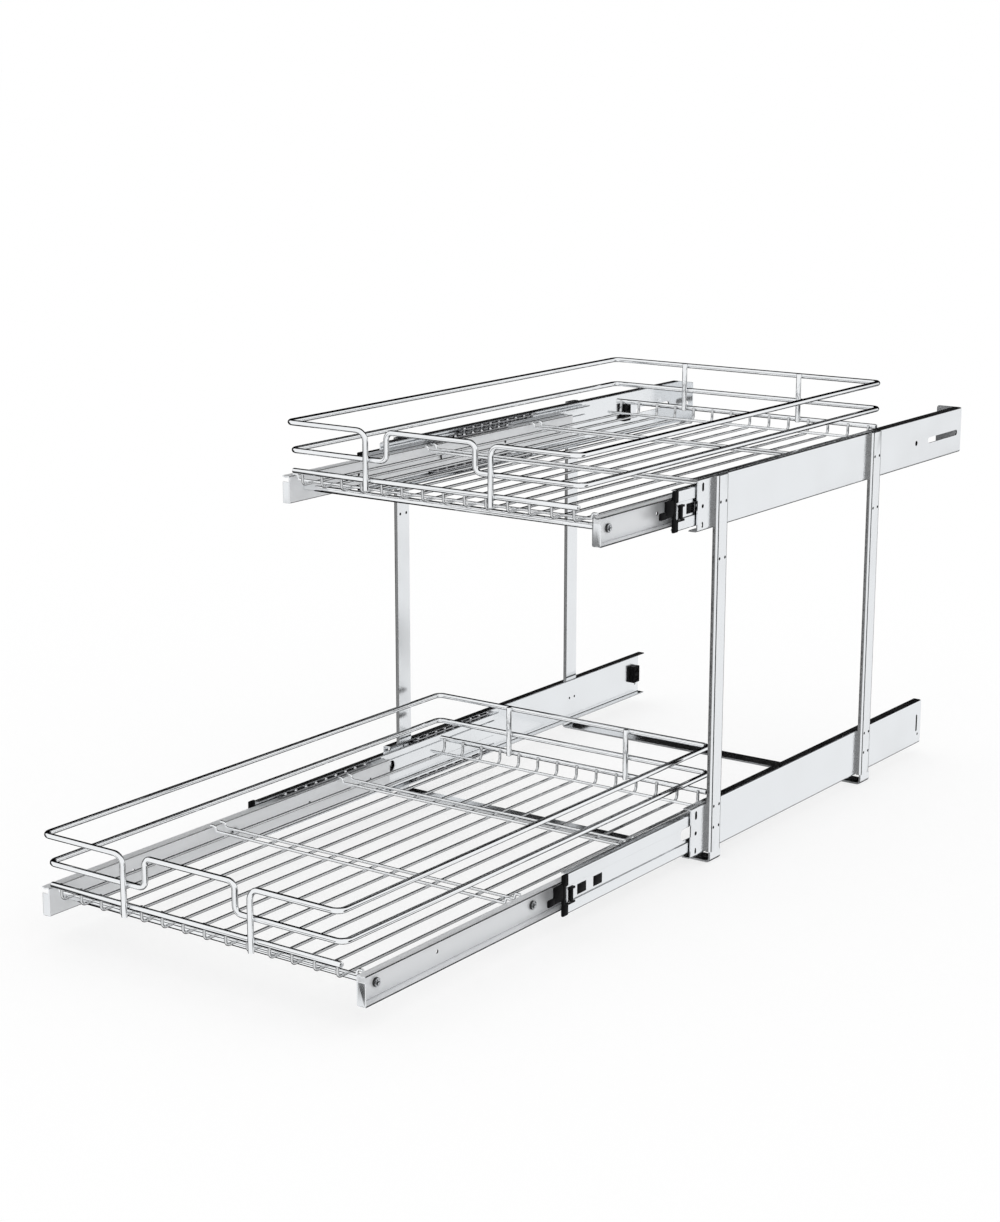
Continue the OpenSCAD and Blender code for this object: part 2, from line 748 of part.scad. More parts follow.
// Steel rod between the drawer rails' webs, tapped at both ends
rod_half = web_x - slide_t;
module tie_rod(tier) {
    y = rail_front[tier] + tie_rod_place;
    z = slide_z[tier];
    color(chrome)
        difference() {
            straight([-rod_half, y, z], [rod_half, y, z], tie_rod_d / 2);
            for (side = [-1, 1])
                straight([side * (rod_half + 1), y, z], [side * (rod_half - screw_len), y, z], screw_r + fit);
        }
}

// Pan-head screws through the drawer rails' webs; the rear pair holds the end washers of the clips
module rail_screws(tier) {
    color(brass_steel)
        for (side = [left, right])
            on_slide(tier, side) {
                screw(rail_front[tier] + tie_rod_place, screw_len - fit);
                screw(rail_front[tier] + rear_screw_place, 0);
                translate([-slide_t - 2, rail_front[tier] + rear_screw_place, 0])
                    rotate([0, 90, 0])
                        cylinder(h = 2, r = screw_head_r);
            }
}

module screw(y, beyond) {
    translate([-slide_t - beyond, y, 0])
        rotate([0, 90, 0])
            cylinder(h = sheet + beyond, r = screw_r);
    translate([-rail_web_in, y, 0])
        rotate([0, 90, 0])
            difference() {
                cylinder(h = screw_head_h, r = screw_head_r);
                for (turn = [0, 90])
                    rotate(turn)
                        translate([-screw_head_r * 0.6, -0.45, screw_head_h - 1])
                            cube([screw_head_r * 1.2, 0.9, 2]);
            }
}

// Top rim: round three sides, then two stubs across the front that turn down to the floor
module top_rim(tier) {
    x = rim_w / 2;
    y_front = basket_front[tier] - stub_out;
    y_rear = basket_front[tier] + rim_d;
    z = slide_z[tier] + top_rim_h;
    z_low = slide_z[tier] + floor_rise + stub_end_rise;
    color(chrome)
        wire([
                [-stub_half, y_front, z_low], [-stub_half, y_front, z], [-x, y_front, z],
                [-x, y_rear, z], [x, y_rear, z],
                [x, y_front, z], [stub_half, y_front, z], [stub_half, y_front, z_low]
            ],
            [0, stub_bend, corner_bend, corner_bend, corner_bend, corner_bend, stub_bend, 0],
            rim_r);
}

// Middle rim: a closed wire behind the stubs, raised to the top rim's height as a grip
module mid_rim(tier) {
    x = rim_w / 2;
    y_front = basket_front[tier];
    y_rear = basket_front[tier] + rim_d;
    z = slide_z[tier] + mid_rim_h;
    z_grip = slide_z[tier] + top_rim_h;
    color(chrome)
        wire([
                [-x, y_rear, z], [x, y_rear, z], [x, y_front, z],
                [grip_half, y_front, z], [grip_half, y_front, z_grip],
                [-grip_half, y_front, z_grip], [-grip_half, y_front, z], [-x, y_front, z]
            ],
            [corner_bend, corner_bend, corner_bend, grip_bend, grip_bend, grip_bend, grip_bend, corner_bend],
            rim_r, true);
}

module end_bars(tier) {
    color(chrome)
        for (y = [basket_front[tier], basket_front[tier] + rim_d])
            straight([-bar_len / 2, y, slide_z[tier] + bar_h], [bar_len / 2, y, slide_z[tier] + bar_h], rim_r);
}

module rear_uprights(tier) {
    y = basket_front[tier] + rim_d - upright_in;
    color(chrome)
        for (side = [-1, 1])
            straight([side * stub_half, y, slide_z[tier] + bar_h - rim_r],
                [side * stub_half, y, slide_z[tier] + top_rim_h + rim_r], rim_r);
}

// Floor wires: both ends turn up inside the end bars
module floor_wires(tier) {
    y_front = basket_front[tier] + end_step;
    y_rear = basket_front[tier] + rim_d - end_step;
    z = slide_z[tier] + floor_rise;
    z_end = slide_z[tier] + bar_h + thin_r;
    color(chrome)
        for (i = [0:floor_wires_n - 1]) {
            x = (i - (floor_wires_n - 1) / 2) * floor_pitch;
            wire([[x, y_front, z_end], [x, y_front, z], [x, y_rear, z], [x, y_rear, z_end]],
                [0, floor_bend_front, floor_bend_rear, 0], thin_r);
        }
}

// Cross wires: welded on top of the floor wires, with ends that step up onto the rails
module cross_wires(tier) {
    z = slide_z[tier] + cross_rise;
    half_gap = cross_pair_gap / 2;
    places = [
        cross_front, cross_pair_1 - half_gap, cross_pair_1 + half_gap,
        cross_pair_2 - half_gap, cross_pair_2 + half_gap
    ];
    color(chrome) {
        for (place = places)
            stepped_wire(basket_front[tier] + place, z, slide_z[tier] + rail_half + thin_r - weld_sink);
        straight([-rim_w / 2, basket_front[tier] + rim_d - cross_rear, z],
            [rim_w / 2, basket_front[tier] + rim_d - cross_rear, z], thin_r);
    }
}

module stepped_wire(y, z, z_end) {
    x_end = rod_half + cross_seat;
    x_step = rod_half - step_in;
    bend = (z_end - z) / 2;
    wire([
            [-x_end, y, z_end], [-x_step, y, z_end], [-x_step, y, z],
            [x_step, y, z], [x_step, y, z_end], [x_end, y, z_end]
        ],
        [0, bend, bend, bend, bend, 0], thin_r);
}

housing(lower, left);  // housing_lower_left
housing(lower, right);  // housing_lower_right
housing(upper, left);  // housing_upper_left
housing(upper, right);  // housing_upper_right
hoop(-hoop_spacing / 2);  // hoop_front
hoop(hoop_spacing / 2);  // hoop_rear
post_rivets();
rear_buffers();
top_rim(lower);  // lower_top_rim
mid_rim(lower);  // lower_mid_rim
end_bars(lower);  // lower_end_bars
rear_uprights(lower);  // lower_rear_uprights
floor_wires(lower);  // lower_floor_wires
cross_wires(lower);  // lower_cross_wires
drawer_rail(lower, left);  // lower_rail_left
drawer_rail(lower, right);  // lower_rail_right
tie_rod(lower);  // lower_tie_rod
rail_screws(lower);  // lower_rail_screws
top_rim(upper);  // upper_top_rim
mid_rim(upper);  // upper_mid_rim
end_bars(upper);  // upper_end_bars
rear_uprights(upper);  // upper_rear_uprights
floor_wires(upper);  // upper_floor_wires
cross_wires(upper);  // upper_cross_wires
drawer_rail(upper, left);  // upper_rail_left
drawer_rail(upper, right);  // upper_rail_right
tie_rod(upper);  // upper_tie_rod
rail_screws(upper);  // upper_rail_screws
middle_member(lower, left);  // lower_middle_left
middle_member(lower, right);  // lower_middle_right
middle_member(upper, left);  // upper_middle_left
middle_member(upper, right);  // upper_middle_right
bumper(lower, left);  // lower_bumper_left
bumper(lower, right);  // lower_bumper_right
bumper(upper, left);  // upper_bumper_left
bumper(upper, right);  // upper_bumper_right
outer_cage(lower, left);  // lower_outer_cage_left
outer_cage(lower, right);  // lower_outer_cage_right
outer_cage(upper, left);  // upper_outer_cage_left
outer_cage(upper, right);  // upper_outer_cage_right
outer_balls(lower, left);  // lower_outer_balls_left
outer_balls(lower, right);  // lower_outer_balls_right
outer_balls(upper, left);  // upper_outer_balls_left
outer_balls(upper, right);  // upper_outer_balls_right
inner_cage(lower, left);  // lower_inner_cage_left
inner_cage(lower, right);  // lower_inner_cage_right
inner_cage(upper, left);  // upper_inner_cage_left
inner_cage(upper, right);  // upper_inner_cage_right
inner_balls(lower, left);  // lower_inner_balls_left
inner_balls(lower, right);  // lower_inner_balls_right
inner_balls(upper, left);  // upper_inner_balls_left
inner_balls(upper, right);  // upper_inner_balls_right
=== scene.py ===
import math

import bmesh
import bpy
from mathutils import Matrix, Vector


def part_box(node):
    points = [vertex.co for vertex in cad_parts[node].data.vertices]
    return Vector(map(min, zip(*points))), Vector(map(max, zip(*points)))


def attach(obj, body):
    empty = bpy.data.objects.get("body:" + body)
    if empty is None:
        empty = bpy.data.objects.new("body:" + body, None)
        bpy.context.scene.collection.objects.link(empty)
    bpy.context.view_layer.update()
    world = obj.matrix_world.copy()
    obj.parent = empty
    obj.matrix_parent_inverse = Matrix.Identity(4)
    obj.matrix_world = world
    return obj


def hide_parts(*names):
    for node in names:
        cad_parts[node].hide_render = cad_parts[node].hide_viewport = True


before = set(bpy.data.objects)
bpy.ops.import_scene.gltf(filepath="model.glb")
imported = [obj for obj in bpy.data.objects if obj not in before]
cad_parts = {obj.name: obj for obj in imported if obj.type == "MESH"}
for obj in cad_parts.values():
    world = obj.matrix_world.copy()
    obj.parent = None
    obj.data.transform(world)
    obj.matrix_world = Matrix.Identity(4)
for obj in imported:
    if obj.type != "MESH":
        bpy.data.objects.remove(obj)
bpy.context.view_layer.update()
mm = 0.001
tiers = ["lower", "upper"]

# Top rim wires. Bright chromed 5 mm steel wire goes round three sides of a basket, and its two
# ends turn down at the front as stubs. The wire is bent cold, so every corner is a true arc.
rim_wire_r = 2.5 * mm
rim_corner = 7 * mm
stub_bend = 9 * mm
stub_half = 66.3 * mm
rim_wire_sides = 20
corner_steps = 7
end_rounding = 0.25
cut_end_angle = math.radians(70)
wire_smooth_angle = math.radians(40)
hair = 0.01 * mm  # places that are closer than this are one


def draw_out(shift):
    """Extrudes the selected edges or faces by a shift."""
    bpy.ops.mesh.extrude_region_move(TRANSFORM_OT_translate={"value": shift})


def bend_wire(name, route, bends, radius, ring_sides, closed=False):
    """Pulls a round section along a route, spins it round each corner and rounds its cut ends."""
    points = [Vector(p) for p in route]
    runs = [b - a for a, b in zip(points, points[1:])]
    bpy.ops.object.select_all(action="DESELECT")
    bpy.ops.mesh.primitive_circle_add(
        vertices=ring_sides, radius=radius, location=points[0],
        rotation=runs[0].to_track_quat("Z", "Y").to_euler())
    wire = bpy.context.object
    wire.name = name
    bpy.ops.object.transform_apply(location=True, rotation=True, scale=True)
    bpy.ops.object.mode_set(mode="EDIT")
    bpy.ops.mesh.select_mode(type="EDGE")
    bpy.ops.mesh.select_all(action="SELECT")
    for i, run in enumerate(runs):
        ahead = run.normalized()
        length = run.length - bends[i] - bends[i + 1]
        if length > hair:
            draw_out(ahead * length)
        if bends[i + 1]:
            after = runs[i + 1].normalized()
            start = points[i + 1] - ahead * bends[i + 1]
            bpy.ops.mesh.spin(
                steps=corner_steps, angle=-math.pi / 2,
                center=start + after * bends[i + 1], axis=ahead.cross(after))
    if closed:
        bpy.ops.mesh.select_all(action="SELECT")
        bpy.ops.mesh.remove_doubles(threshold=hair)
    else:
        bpy.ops.mesh.select_non_manifold(extend=False)
        bpy.ops.mesh.fill_holes(sides=0)
        bpy.ops.mesh.select_all(action="DESELECT")
        bpy.ops.mesh.edges_select_sharp(sharpness=cut_end_angle)
        bpy.ops.mesh.bevel(offset=end_rounding * radius, segments=2)
    bpy.ops.mesh.select_all(action="SELECT")
    bpy.ops.mesh.normals_make_consistent(inside=False)
    bpy.ops.object.mode_set(mode="OBJECT")
    bpy.ops.object.shade_smooth_by_angle(angle=wire_smooth_angle)
    return wire


def new_material(name):
    """A node material that holds nothing but its shader and its output."""
    material = bpy.data.materials.new(name)
    material.use_nodes = True
    nodes = material.node_tree.nodes
    nodes.clear()
    shader = nodes.new("ShaderNodeBsdfPrincipled")
    output = nodes.new("ShaderNodeOutputMaterial")
    material.node_tree.links.new(shader.outputs["BSDF"], output.inputs["Surface"])
    return material, nodes, material.node_tree.links, shader


def noise(nodes, links, scale, stretch=(1, 1, 1), detail=3.0):
    """Noise in the piece's own coordinates, stretched along one of its directions."""
    place = nodes.new("ShaderNodeTexCoord")
    mapping = nodes.new("ShaderNodeMapping")
    mapping.inputs["Scale"].default_value = stretch
    cloud = nodes.new("ShaderNodeTexNoise")
    cloud.inputs["Scale"].default_value = scale
    cloud.inputs["Detail"].default_value = detail
    links.new(place.outputs["Object"], mapping.inputs["Vector"])
    links.new(mapping.outputs["Vector"], cloud.inputs["Vector"])
    return cloud.outputs["Fac"]


def gloss(nodes, links, shader, value, low, high):
    """Lets the surface's roughness go from low to high with a noise value."""
    span = nodes.new("ShaderNodeMapRange")
    span.inputs["From Min"].default_value = 0.3
    span.inputs["From Max"].default_value = 0.7
    span.inputs["To Min"].default_value = low
    span.inputs["To Max"].default_value = high
    links.new(value, span.inputs["Value"])
    links.new(span.outputs["Result"], shader.inputs["Roughness"])


def tone(nodes, links, shader, value, dark, light):
    """Lets the surface's colour go from dark to light with a noise value."""
    blend = nodes.new("ShaderNodeMix")
    blend.data_type = "RGBA"
    blend.inputs[6].default_value = (*dark, 1)
    blend.inputs[7].default_value = (*light, 1)
    links.new(value, blend.inputs[0])
    links.new(blend.outputs[2], shader.inputs["Base Color"])


def relief(nodes, links, shader, value, strength):
    """Bumps the surface by a noise value, up to a tenth of a millimetre."""
    bump = nodes.new("ShaderNodeBump")
    bump.inputs["Strength"].default_value = strength
    bump.inputs["Distance"].default_value = 0.1 * mm
    links.new(value, bump.inputs["Height"])
    links.new(bump.outputs["Normal"], shader.inputs["Normal"])


def chromed_wire(name, dull, bright):
    """Bright chrome over drawn wire: a mirror with faint draw marks and a few duller patches."""
    material, nodes, links, shader = new_material(name)
    shader.inputs["Metallic"].default_value = 1
    patches = noise(nodes, links, 45)
    marks = noise(nodes, links, 900, detail=2)
    tone(nodes, links, shader, patches, dull, bright)
    gloss(nodes, links, shader, patches, 0.03, 0.09)
    relief(nodes, links, shader, marks, 0.02)
    return material


chrome = chromed_wire("chromed_wire", (0.84, 0.85, 0.86), (0.93, 0.935, 0.94))
for tier in tiers:
    low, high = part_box(tier + "_top_rim")
    side_x = high.x - rim_wire_r
    front_y = low.y + rim_wire_r
    rear_y = high.y - rim_wire_r
    top_z = high.z - rim_wire_r
    rim = bend_wire(
        tier + "_top_rim_wire",
        [
            (-stub_half, front_y, low.z), (-stub_half, front_y, top_z), (-side_x, front_y, top_z),
            (-side_x, rear_y, top_z), (side_x, rear_y, top_z),
            (side_x, front_y, top_z), (stub_half, front_y, top_z), (stub_half, front_y, low.z),
        ],
        [0, stub_bend, rim_corner, rim_corner, rim_corner, rim_corner, stub_bend, 0],
        rim_wire_r, rim_wire_sides)
    rim.data.materials.append(chrome)
    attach(rim, tier + "_basket")
    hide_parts(tier + "_top_rim")

# Middle rims. The same wire, welded into one closed ring below the top rim; its front run rises
# to the top rim's height between the stubs, where a hand pulls the basket.
grip_half = 47 * mm
grip_bend = 6.5 * mm
for tier in tiers:
    low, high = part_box(tier + "_mid_rim")
    side_x = high.x - rim_wire_r
    front_y = low.y + rim_wire_r
    rear_y = high.y - rim_wire_r
    ring_z = low.z + rim_wire_r
    grip_z = high.z - rim_wire_r
    ring = bend_wire(
        tier + "_middle_rim_wire",
        [
            (0, rear_y, ring_z), (side_x, rear_y, ring_z), (side_x, front_y, ring_z),
            (grip_half, front_y, ring_z), (grip_half, front_y, grip_z),
            (-grip_half, front_y, grip_z), (-grip_half, front_y, ring_z),
            (-side_x, front_y, ring_z), (-side_x, rear_y, ring_z), (0, rear_y, ring_z),
        ],
        [0, rim_corner, rim_corner, grip_bend, grip_bend,
         grip_bend, grip_bend, rim_corner, rim_corner, 0],
        rim_wire_r, rim_wire_sides, closed=True)
    ring.data.materials.append(chrome)
    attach(ring, tier + "_basket")
    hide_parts(tier + "_mid_rim")

# End bars and rear uprights. Straight cut pieces of the rim wire: a bar closes the floor at each
# end of the basket, and two uprights tie the rear bar to the rims above it.
for tier in tiers:
    low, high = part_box(tier + "_end_bars")
    bar_z = low.z + rim_wire_r
    bars = []
    for end, y in [("front", low.y + rim_wire_r), ("rear", high.y - rim_wire_r)]:
        bars.append(bend_wire(
            tier + "_" + end + "_bar", [(low.x, y, bar_z), (high.x, y, bar_z)],
            [0, 0], rim_wire_r, rim_wire_sides))
    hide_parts(tier + "_end_bars")
    low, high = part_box(tier + "_rear_uprights")
    upright_y = low.y + rim_wire_r
    for side, x in [("left", low.x + rim_wire_r), ("right", high.x - rim_wire_r)]:
        bars.append(bend_wire(
            tier + "_upright_" + side, [(x, upright_y, low.z), (x, upright_y, high.z)],
            [0, 0], rim_wire_r, rim_wire_sides))
    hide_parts(tier + "_rear_uprights")
    for bar in bars:
        bar.data.materials.append(chrome)
        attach(bar, tier + "_basket")

# Floor wires. Fourteen thin wires run from front to rear under each basket and turn up behind the
# end bars, to which their ends are welded.
thin_wire_r = 1.3 * mm
thin_wire_sides = 14
floor_wires_n = 14
floor_bend_front = 4 * mm
floor_bend_rear = 6 * mm
# The floor wires get a darker copy of the chrome: painted shade, so they read darker than the cross
# wires on them.
floor_shade_chrome = chromed_wire("shaded_floor_chrome", (0.58, 0.585, 0.59), (0.68, 0.685, 0.69))


def take(*pieces):
    """Selects these pieces alone and makes the first of them the active one."""
    bpy.ops.object.select_all(action="DESELECT")
    for piece in pieces:
        piece.select_set(True)
    bpy.context.view_layer.objects.active = pieces[0]


def copy_along(piece, name, shift):
    """A copy of a piece with its own mesh, moved by shift."""
    take(piece)
    bpy.ops.object.duplicate(linked=False)
    twin = bpy.context.object
    twin.name = name
    twin.location = shift
    bpy.ops.object.transform_apply(location=True, rotation=False, scale=False)
    return twin


for tier in tiers:
    low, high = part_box(tier + "_floor_wires")
    first_x = low.x + thin_wire_r
    pitch = (high.x - low.x - 2 * thin_wire_r) / (floor_wires_n - 1)
    front_y = low.y + thin_wire_r
    rear_y = high.y - thin_wire_r
    floor_z = low.z + thin_wire_r
    first = bend_wire(
        tier + "_floor_wire_01",
        [(first_x, front_y, high.z), (first_x, front_y, floor_z), (first_x, rear_y, floor_z),
         (first_x, rear_y, high.z)],
        [0, floor_bend_front, floor_bend_rear, 0], thin_wire_r, thin_wire_sides)
    first.data.materials.append(floor_shade_chrome)
    wires = [first]
    for i in range(1, floor_wires_n):
        wires.append(copy_along(first, f"{tier}_floor_wire_{i + 1:02d}", (i * pitch, 0, 0)))
    for wire in wires:
        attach(wire, tier + "_basket")
    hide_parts(tier + "_floor_wires")

# Cross wires. Six thin wires lie across the floor wires; five of them step up at both ends onto
# the drawer rails, and the last one joins only the wires at the rear.
cross_places = [12 * mm, 202 * mm, 215 * mm, 378.5 * mm, 391.5 * mm]
cross_end_x = 162.1 * mm
cross_step_x = 156.4 * mm
rear_cross_x = 153.7 * mm
for tier in tiers:
    low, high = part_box(tier + "_cross_wires")
    basket_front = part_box(tier + "_mid_rim")[0].y + rim_wire_r
    cross_z = low.z + thin_wire_r
    end_z = high.z - thin_wire_r
    step = (end_z - cross_z) / 2
    crosses = []
    for i, place in enumerate(cross_places):
        y = basket_front + place
        crosses.append(bend_wire(
            f"{tier}_cross_wire_{i + 1}",
            [(-cross_end_x, y, end_z), (-cross_step_x, y, end_z), (-cross_step_x, y, cross_z),
             (cross_step_x, y, cross_z), (cross_step_x, y, end_z), (cross_end_x, y, end_z)],
            [0, step, step, step, step, 0], thin_wire_r, thin_wire_sides))
    y = high.y - thin_wire_r
    crosses.append(bend_wire(
        tier + "_cross_wire_6", [(-rear_cross_x, y, cross_z), (rear_cross_x, y, cross_z)],
        [0, 0], thin_wire_r, thin_wire_sides))
    for wire in crosses:
        wire.data.materials.append(chrome)
        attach(wire, tier + "_basket")
    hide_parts(tier + "_cross_wires")

# Slide housings. The outer member of each ball-bearing slide is a strip of zinc-plated steel rolled
# into a channel 46 mm high, pierced for screws and clips. The upper pair ends in a bent screw tab.
sheet = 1.2 * mm
face_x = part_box("housing_lower_right")[1].x
housing_bend = 2.2 * mm
housing_flange = 9.6 * mm
lip_bend = 1.6 * mm
housing_lip_angle = 40
edge_rounding = 0.2 * mm
front_hole_back = 8.3 * mm
front_holes = [  # height, radius and stretch upwards
    (13.6 * mm, 1.7 * mm, 4.2 * mm),
    (-1 * mm, 1.8 * mm, 0),
    (-18.7 * mm, 1.3 * mm, 2.6 * mm),
]
blade_y = 267.5 * mm
peg_y = 239.5 * mm
peg_drop = 1 * mm
rear_holes = {  # place along the housing, height, radius and stretch
    "lower": [
        (blade_y, -7.3 * mm, 1.5 * mm, (0, 0, 14.6 * mm)),
        (270.5 * mm, -12.3 * mm, 1.3 * mm, (0, 0, 0)),
    ],
    "upper": [
        (peg_y, -peg_drop, 2.6 * mm, (0, 0, 0)),
        (268.4 * mm, -1.6 * mm, 2.9 * mm, (0, 61.2 * mm, 0)),
    ],
}
tab_reach = 27 * mm
tab_rounding = 2.2 * mm
tab_hole_in = 19 * mm
tab_hole_r = 2.2 * mm
bend_steps = 5
block_steps = 3
hole_sides = 28
hole_wall_band = 0.25 * mm
drill_length = 12 * mm
sheared_angle = math.radians(50)
block_smooth_angle = math.radians(35)


def lay_sheet(name, x, facing, y_range, z_range):
    """Starts a sheet piece from an upright strip at x that faces +X or -X, open in edit mode."""
    length = y_range[1] - y_range[0]
    height = z_range[1] - z_range[0]
    bpy.ops.object.select_all(action="DESELECT")
    bpy.ops.mesh.primitive_plane_add(
        size=1, location=(x, sum(y_range) / 2, sum(z_range) / 2),
        rotation=(0, facing * math.pi / 2, 0))
    piece = bpy.context.object
    piece.name = name
    piece.scale = (height, length, 1)
    bpy.ops.object.transform_apply(location=True, rotation=True, scale=True)
    bpy.ops.object.mode_set(mode="EDIT")
    return piece


def pick_edges(piece, test):
    """In edit mode, selects only the edges whose middle passes the test."""
    bpy.ops.mesh.select_mode(type="EDGE")
    bpy.ops.mesh.select_all(action="DESELECT")
    shape = bmesh.from_edit_mesh(piece.data)
    for edge in shape.edges:
        if test((edge.verts[0].co + edge.verts[1].co) / 2):
            edge.select_set(True)
    bmesh.update_edit_mesh(piece.data)


def near(value, target):
    """True where two places are the same to within a hundredth of a millimetre."""
    return abs(value - target) < hair


def curl(centre, axis, degrees):
    """Bends the selected edges on round an axis, by the right-hand rule."""
    bpy.ops.mesh.spin(steps=bend_steps, angle=-math.radians(degrees), center=centre, axis=axis)


def thicken(piece, thickness):
    """Closes edit mode and gives the sheet its thickness behind the drawn face."""
    bpy.ops.mesh.select_all(action="SELECT")
    bpy.ops.mesh.remove_doubles(threshold=0.5 * hair)
    bpy.ops.object.mode_set(mode="OBJECT")
    wall = piece.modifiers.new("wall", "SOLIDIFY")
    wall.thickness = thickness
    wall.offset = -1
    bpy.ops.object.modifier_apply(modifier=wall.name)


def punch(piece, holes):
    """Punches holes along X: each is a centre, a radius and a stretch of its far half."""
    cutters = []
    for centre, radius, stretch in holes:
        bpy.ops.object.select_all(action="DESELECT")
        bpy.ops.mesh.primitive_cylinder_add(
            vertices=hole_sides, radius=radius, depth=drill_length,
            location=centre, rotation=(0, math.pi / 2, 0))
        cutter = bpy.context.object
        bpy.ops.object.transform_apply(location=True, rotation=True, scale=True)
        way = Vector(stretch)
        for vertex in cutter.data.vertices:
            if (vertex.co - Vector(centre)).dot(way) > 0:
                vertex.co += way
        cutters.append(cutter)
    take(*cutters)
    if len(cutters) > 1:
        bpy.ops.object.join()
    cut(piece, cutters[0])


def combine(piece, other, operation):
    """Works a second closed shape into a piece and removes that shape."""
    take(piece)
    joint = piece.modifiers.new("joint", "BOOLEAN")
    joint.operation = operation
    joint.solver = "EXACT"
    joint.object = other
    bpy.ops.object.modifier_apply(modifier=joint.name)
    bpy.data.objects.remove(other)


def cut(piece, cutter):
    """Cuts a closed shape out of a piece."""
    combine(piece, cutter, "DIFFERENCE")


def weld_on(piece, other):
    """Joins a second closed shape to a piece as one body."""
    combine(piece, other, "UNION")


def break_edges(piece, width):
    """Rounds the sheared edges of a piece slightly and keeps its flat faces flat."""
    take(piece)
    bpy.ops.object.shade_smooth()
    edge = piece.modifiers.new("edge", "BEVEL")
    edge.width = width
    edge.segments = 2
    edge.limit_method = "ANGLE"
    edge.angle_limit = sheared_angle
    edge.harden_normals = True
    bpy.ops.object.modifier_apply(modifier=edge.name)


def mirror_piece(piece, name):
    """A mirrored copy of a right-hand piece for the left side, with its own mesh."""
    take(piece)
    bpy.ops.object.duplicate(linked=False)
    twin = bpy.context.object
    twin.name = name
    twin.scale = (-1, 1, 1)
    bpy.ops.object.transform_apply(location=False, rotation=False, scale=True)
    bpy.ops.object.mode_set(mode="EDIT")
    bpy.ops.mesh.select_all(action="SELECT")
    bpy.ops.mesh.normals_make_consistent(inside=False)
    bpy.ops.object.mode_set(mode="OBJECT")
    return twin


def zinc_sheet(name, grain_way):
    """Zinc-plated cold-rolled steel: bright, with a faint grain along the strip and pale clouds."""
    material, nodes, links, shader = new_material(name)
    shader.inputs["Metallic"].default_value = 1
    clouds = noise(nodes, links, 25)
    grain = noise(nodes, links, 500, stretch=grain_way, detail=2)
    tone(nodes, links, shader, clouds, (0.80, 0.815, 0.83), (0.86, 0.87, 0.88))
    gloss(nodes, links, shader, clouds, 0.14, 0.22)
    relief(nodes, links, shader, grain, 0.05)
    return material


def rounded_block(name, low, high, rounding, along=None):
    """A block between two corners with all its edges rounded, or only those along one axis."""
    bpy.ops.object.select_all(action="DESELECT")
    bpy.ops.mesh.primitive_cube_add(size=1, location=(Vector(low) + Vector(high)) / 2)
    block = bpy.context.object
    block.name = name
    block.scale = Vector(high) - Vector(low)
    bpy.ops.object.transform_apply(location=True, rotation=True, scale=True)
    bpy.ops.object.mode_set(mode="EDIT")
    bpy.ops.mesh.select_mode(type="EDGE")
    bpy.ops.mesh.select_all(action="SELECT")
    if along is not None:
        bpy.ops.mesh.select_all(action="DESELECT")
        shape = bmesh.from_edit_mesh(block.data)
        for edge in shape.edges:
            way = edge.verts[1].co - edge.verts[0].co
            if abs(way[along]) > 0.5 * way.length:
                edge.select_set(True)
        bmesh.update_edit_mesh(block.data)
    bpy.ops.mesh.bevel(offset=rounding, segments=block_steps, affect="EDGES")
    bpy.ops.object.mode_set(mode="OBJECT")
    bpy.ops.object.shade_smooth_by_angle(angle=block_smooth_angle)
    return block


def painted_shade_steel(name, dark, light, bright=1):
    """Dark steel that paints shade onto hole walls, free edges, bends and flanges; at bright 0 it
    is dull.
    """
    material, nodes, links, shader = new_material(name)
    shader.inputs["Metallic"].default_value = bright
    shader.inputs["Specular IOR Level"].default_value = 0.5 * bright
    shade_mottle = noise(nodes, links, 300, stretch=(1, 0.2, 1))
    tone(nodes, links, shader, shade_mottle, (dark, dark, dark), (light, light, light))
    gloss(nodes, links, shader, shade_mottle, 0.22, 0.34)
    return material


def line_holes(piece, holes, finish):
    """Gives the walls of the holes, which lean away from X, a near-black finish: painted shade, so
    the holes read dark.
    """
    piece.data.materials.append(finish)
    for face in piece.data.polygons:
        if abs(face.normal.x) < 0.6:
            for centre, radius, stretch in holes:
                way = Vector(stretch)
                off = face.center - Vector(centre)
                if way.length:
                    off -= way * min(1, max(0, off.dot(way) / way.length_squared))
                if math.hypot(off.y, off.z) < radius + hole_wall_band:
                    face.material_index = len(piece.data.materials) - 1


def screw_tab(rear_y, bottom, top):
    """The pierced tab that is bent inwards across the rear end of an upper housing."""
    inner_x = face_x - tab_reach
    tab = rounded_block(
        "tab", (inner_x, rear_y - sheet, bottom), (face_x, rear_y, top), tab_rounding, along=1)
    bpy.ops.object.select_all(action="DESELECT")
    bpy.ops.mesh.primitive_cylinder_add(
        vertices=hole_sides, radius=tab_hole_r, depth=drill_length,
        rotation=(math.pi / 2, 0, 0), location=(face_x - tab_hole_in, rear_y, (bottom + top) / 2))
    cut(tab, bpy.context.object)
    return tab


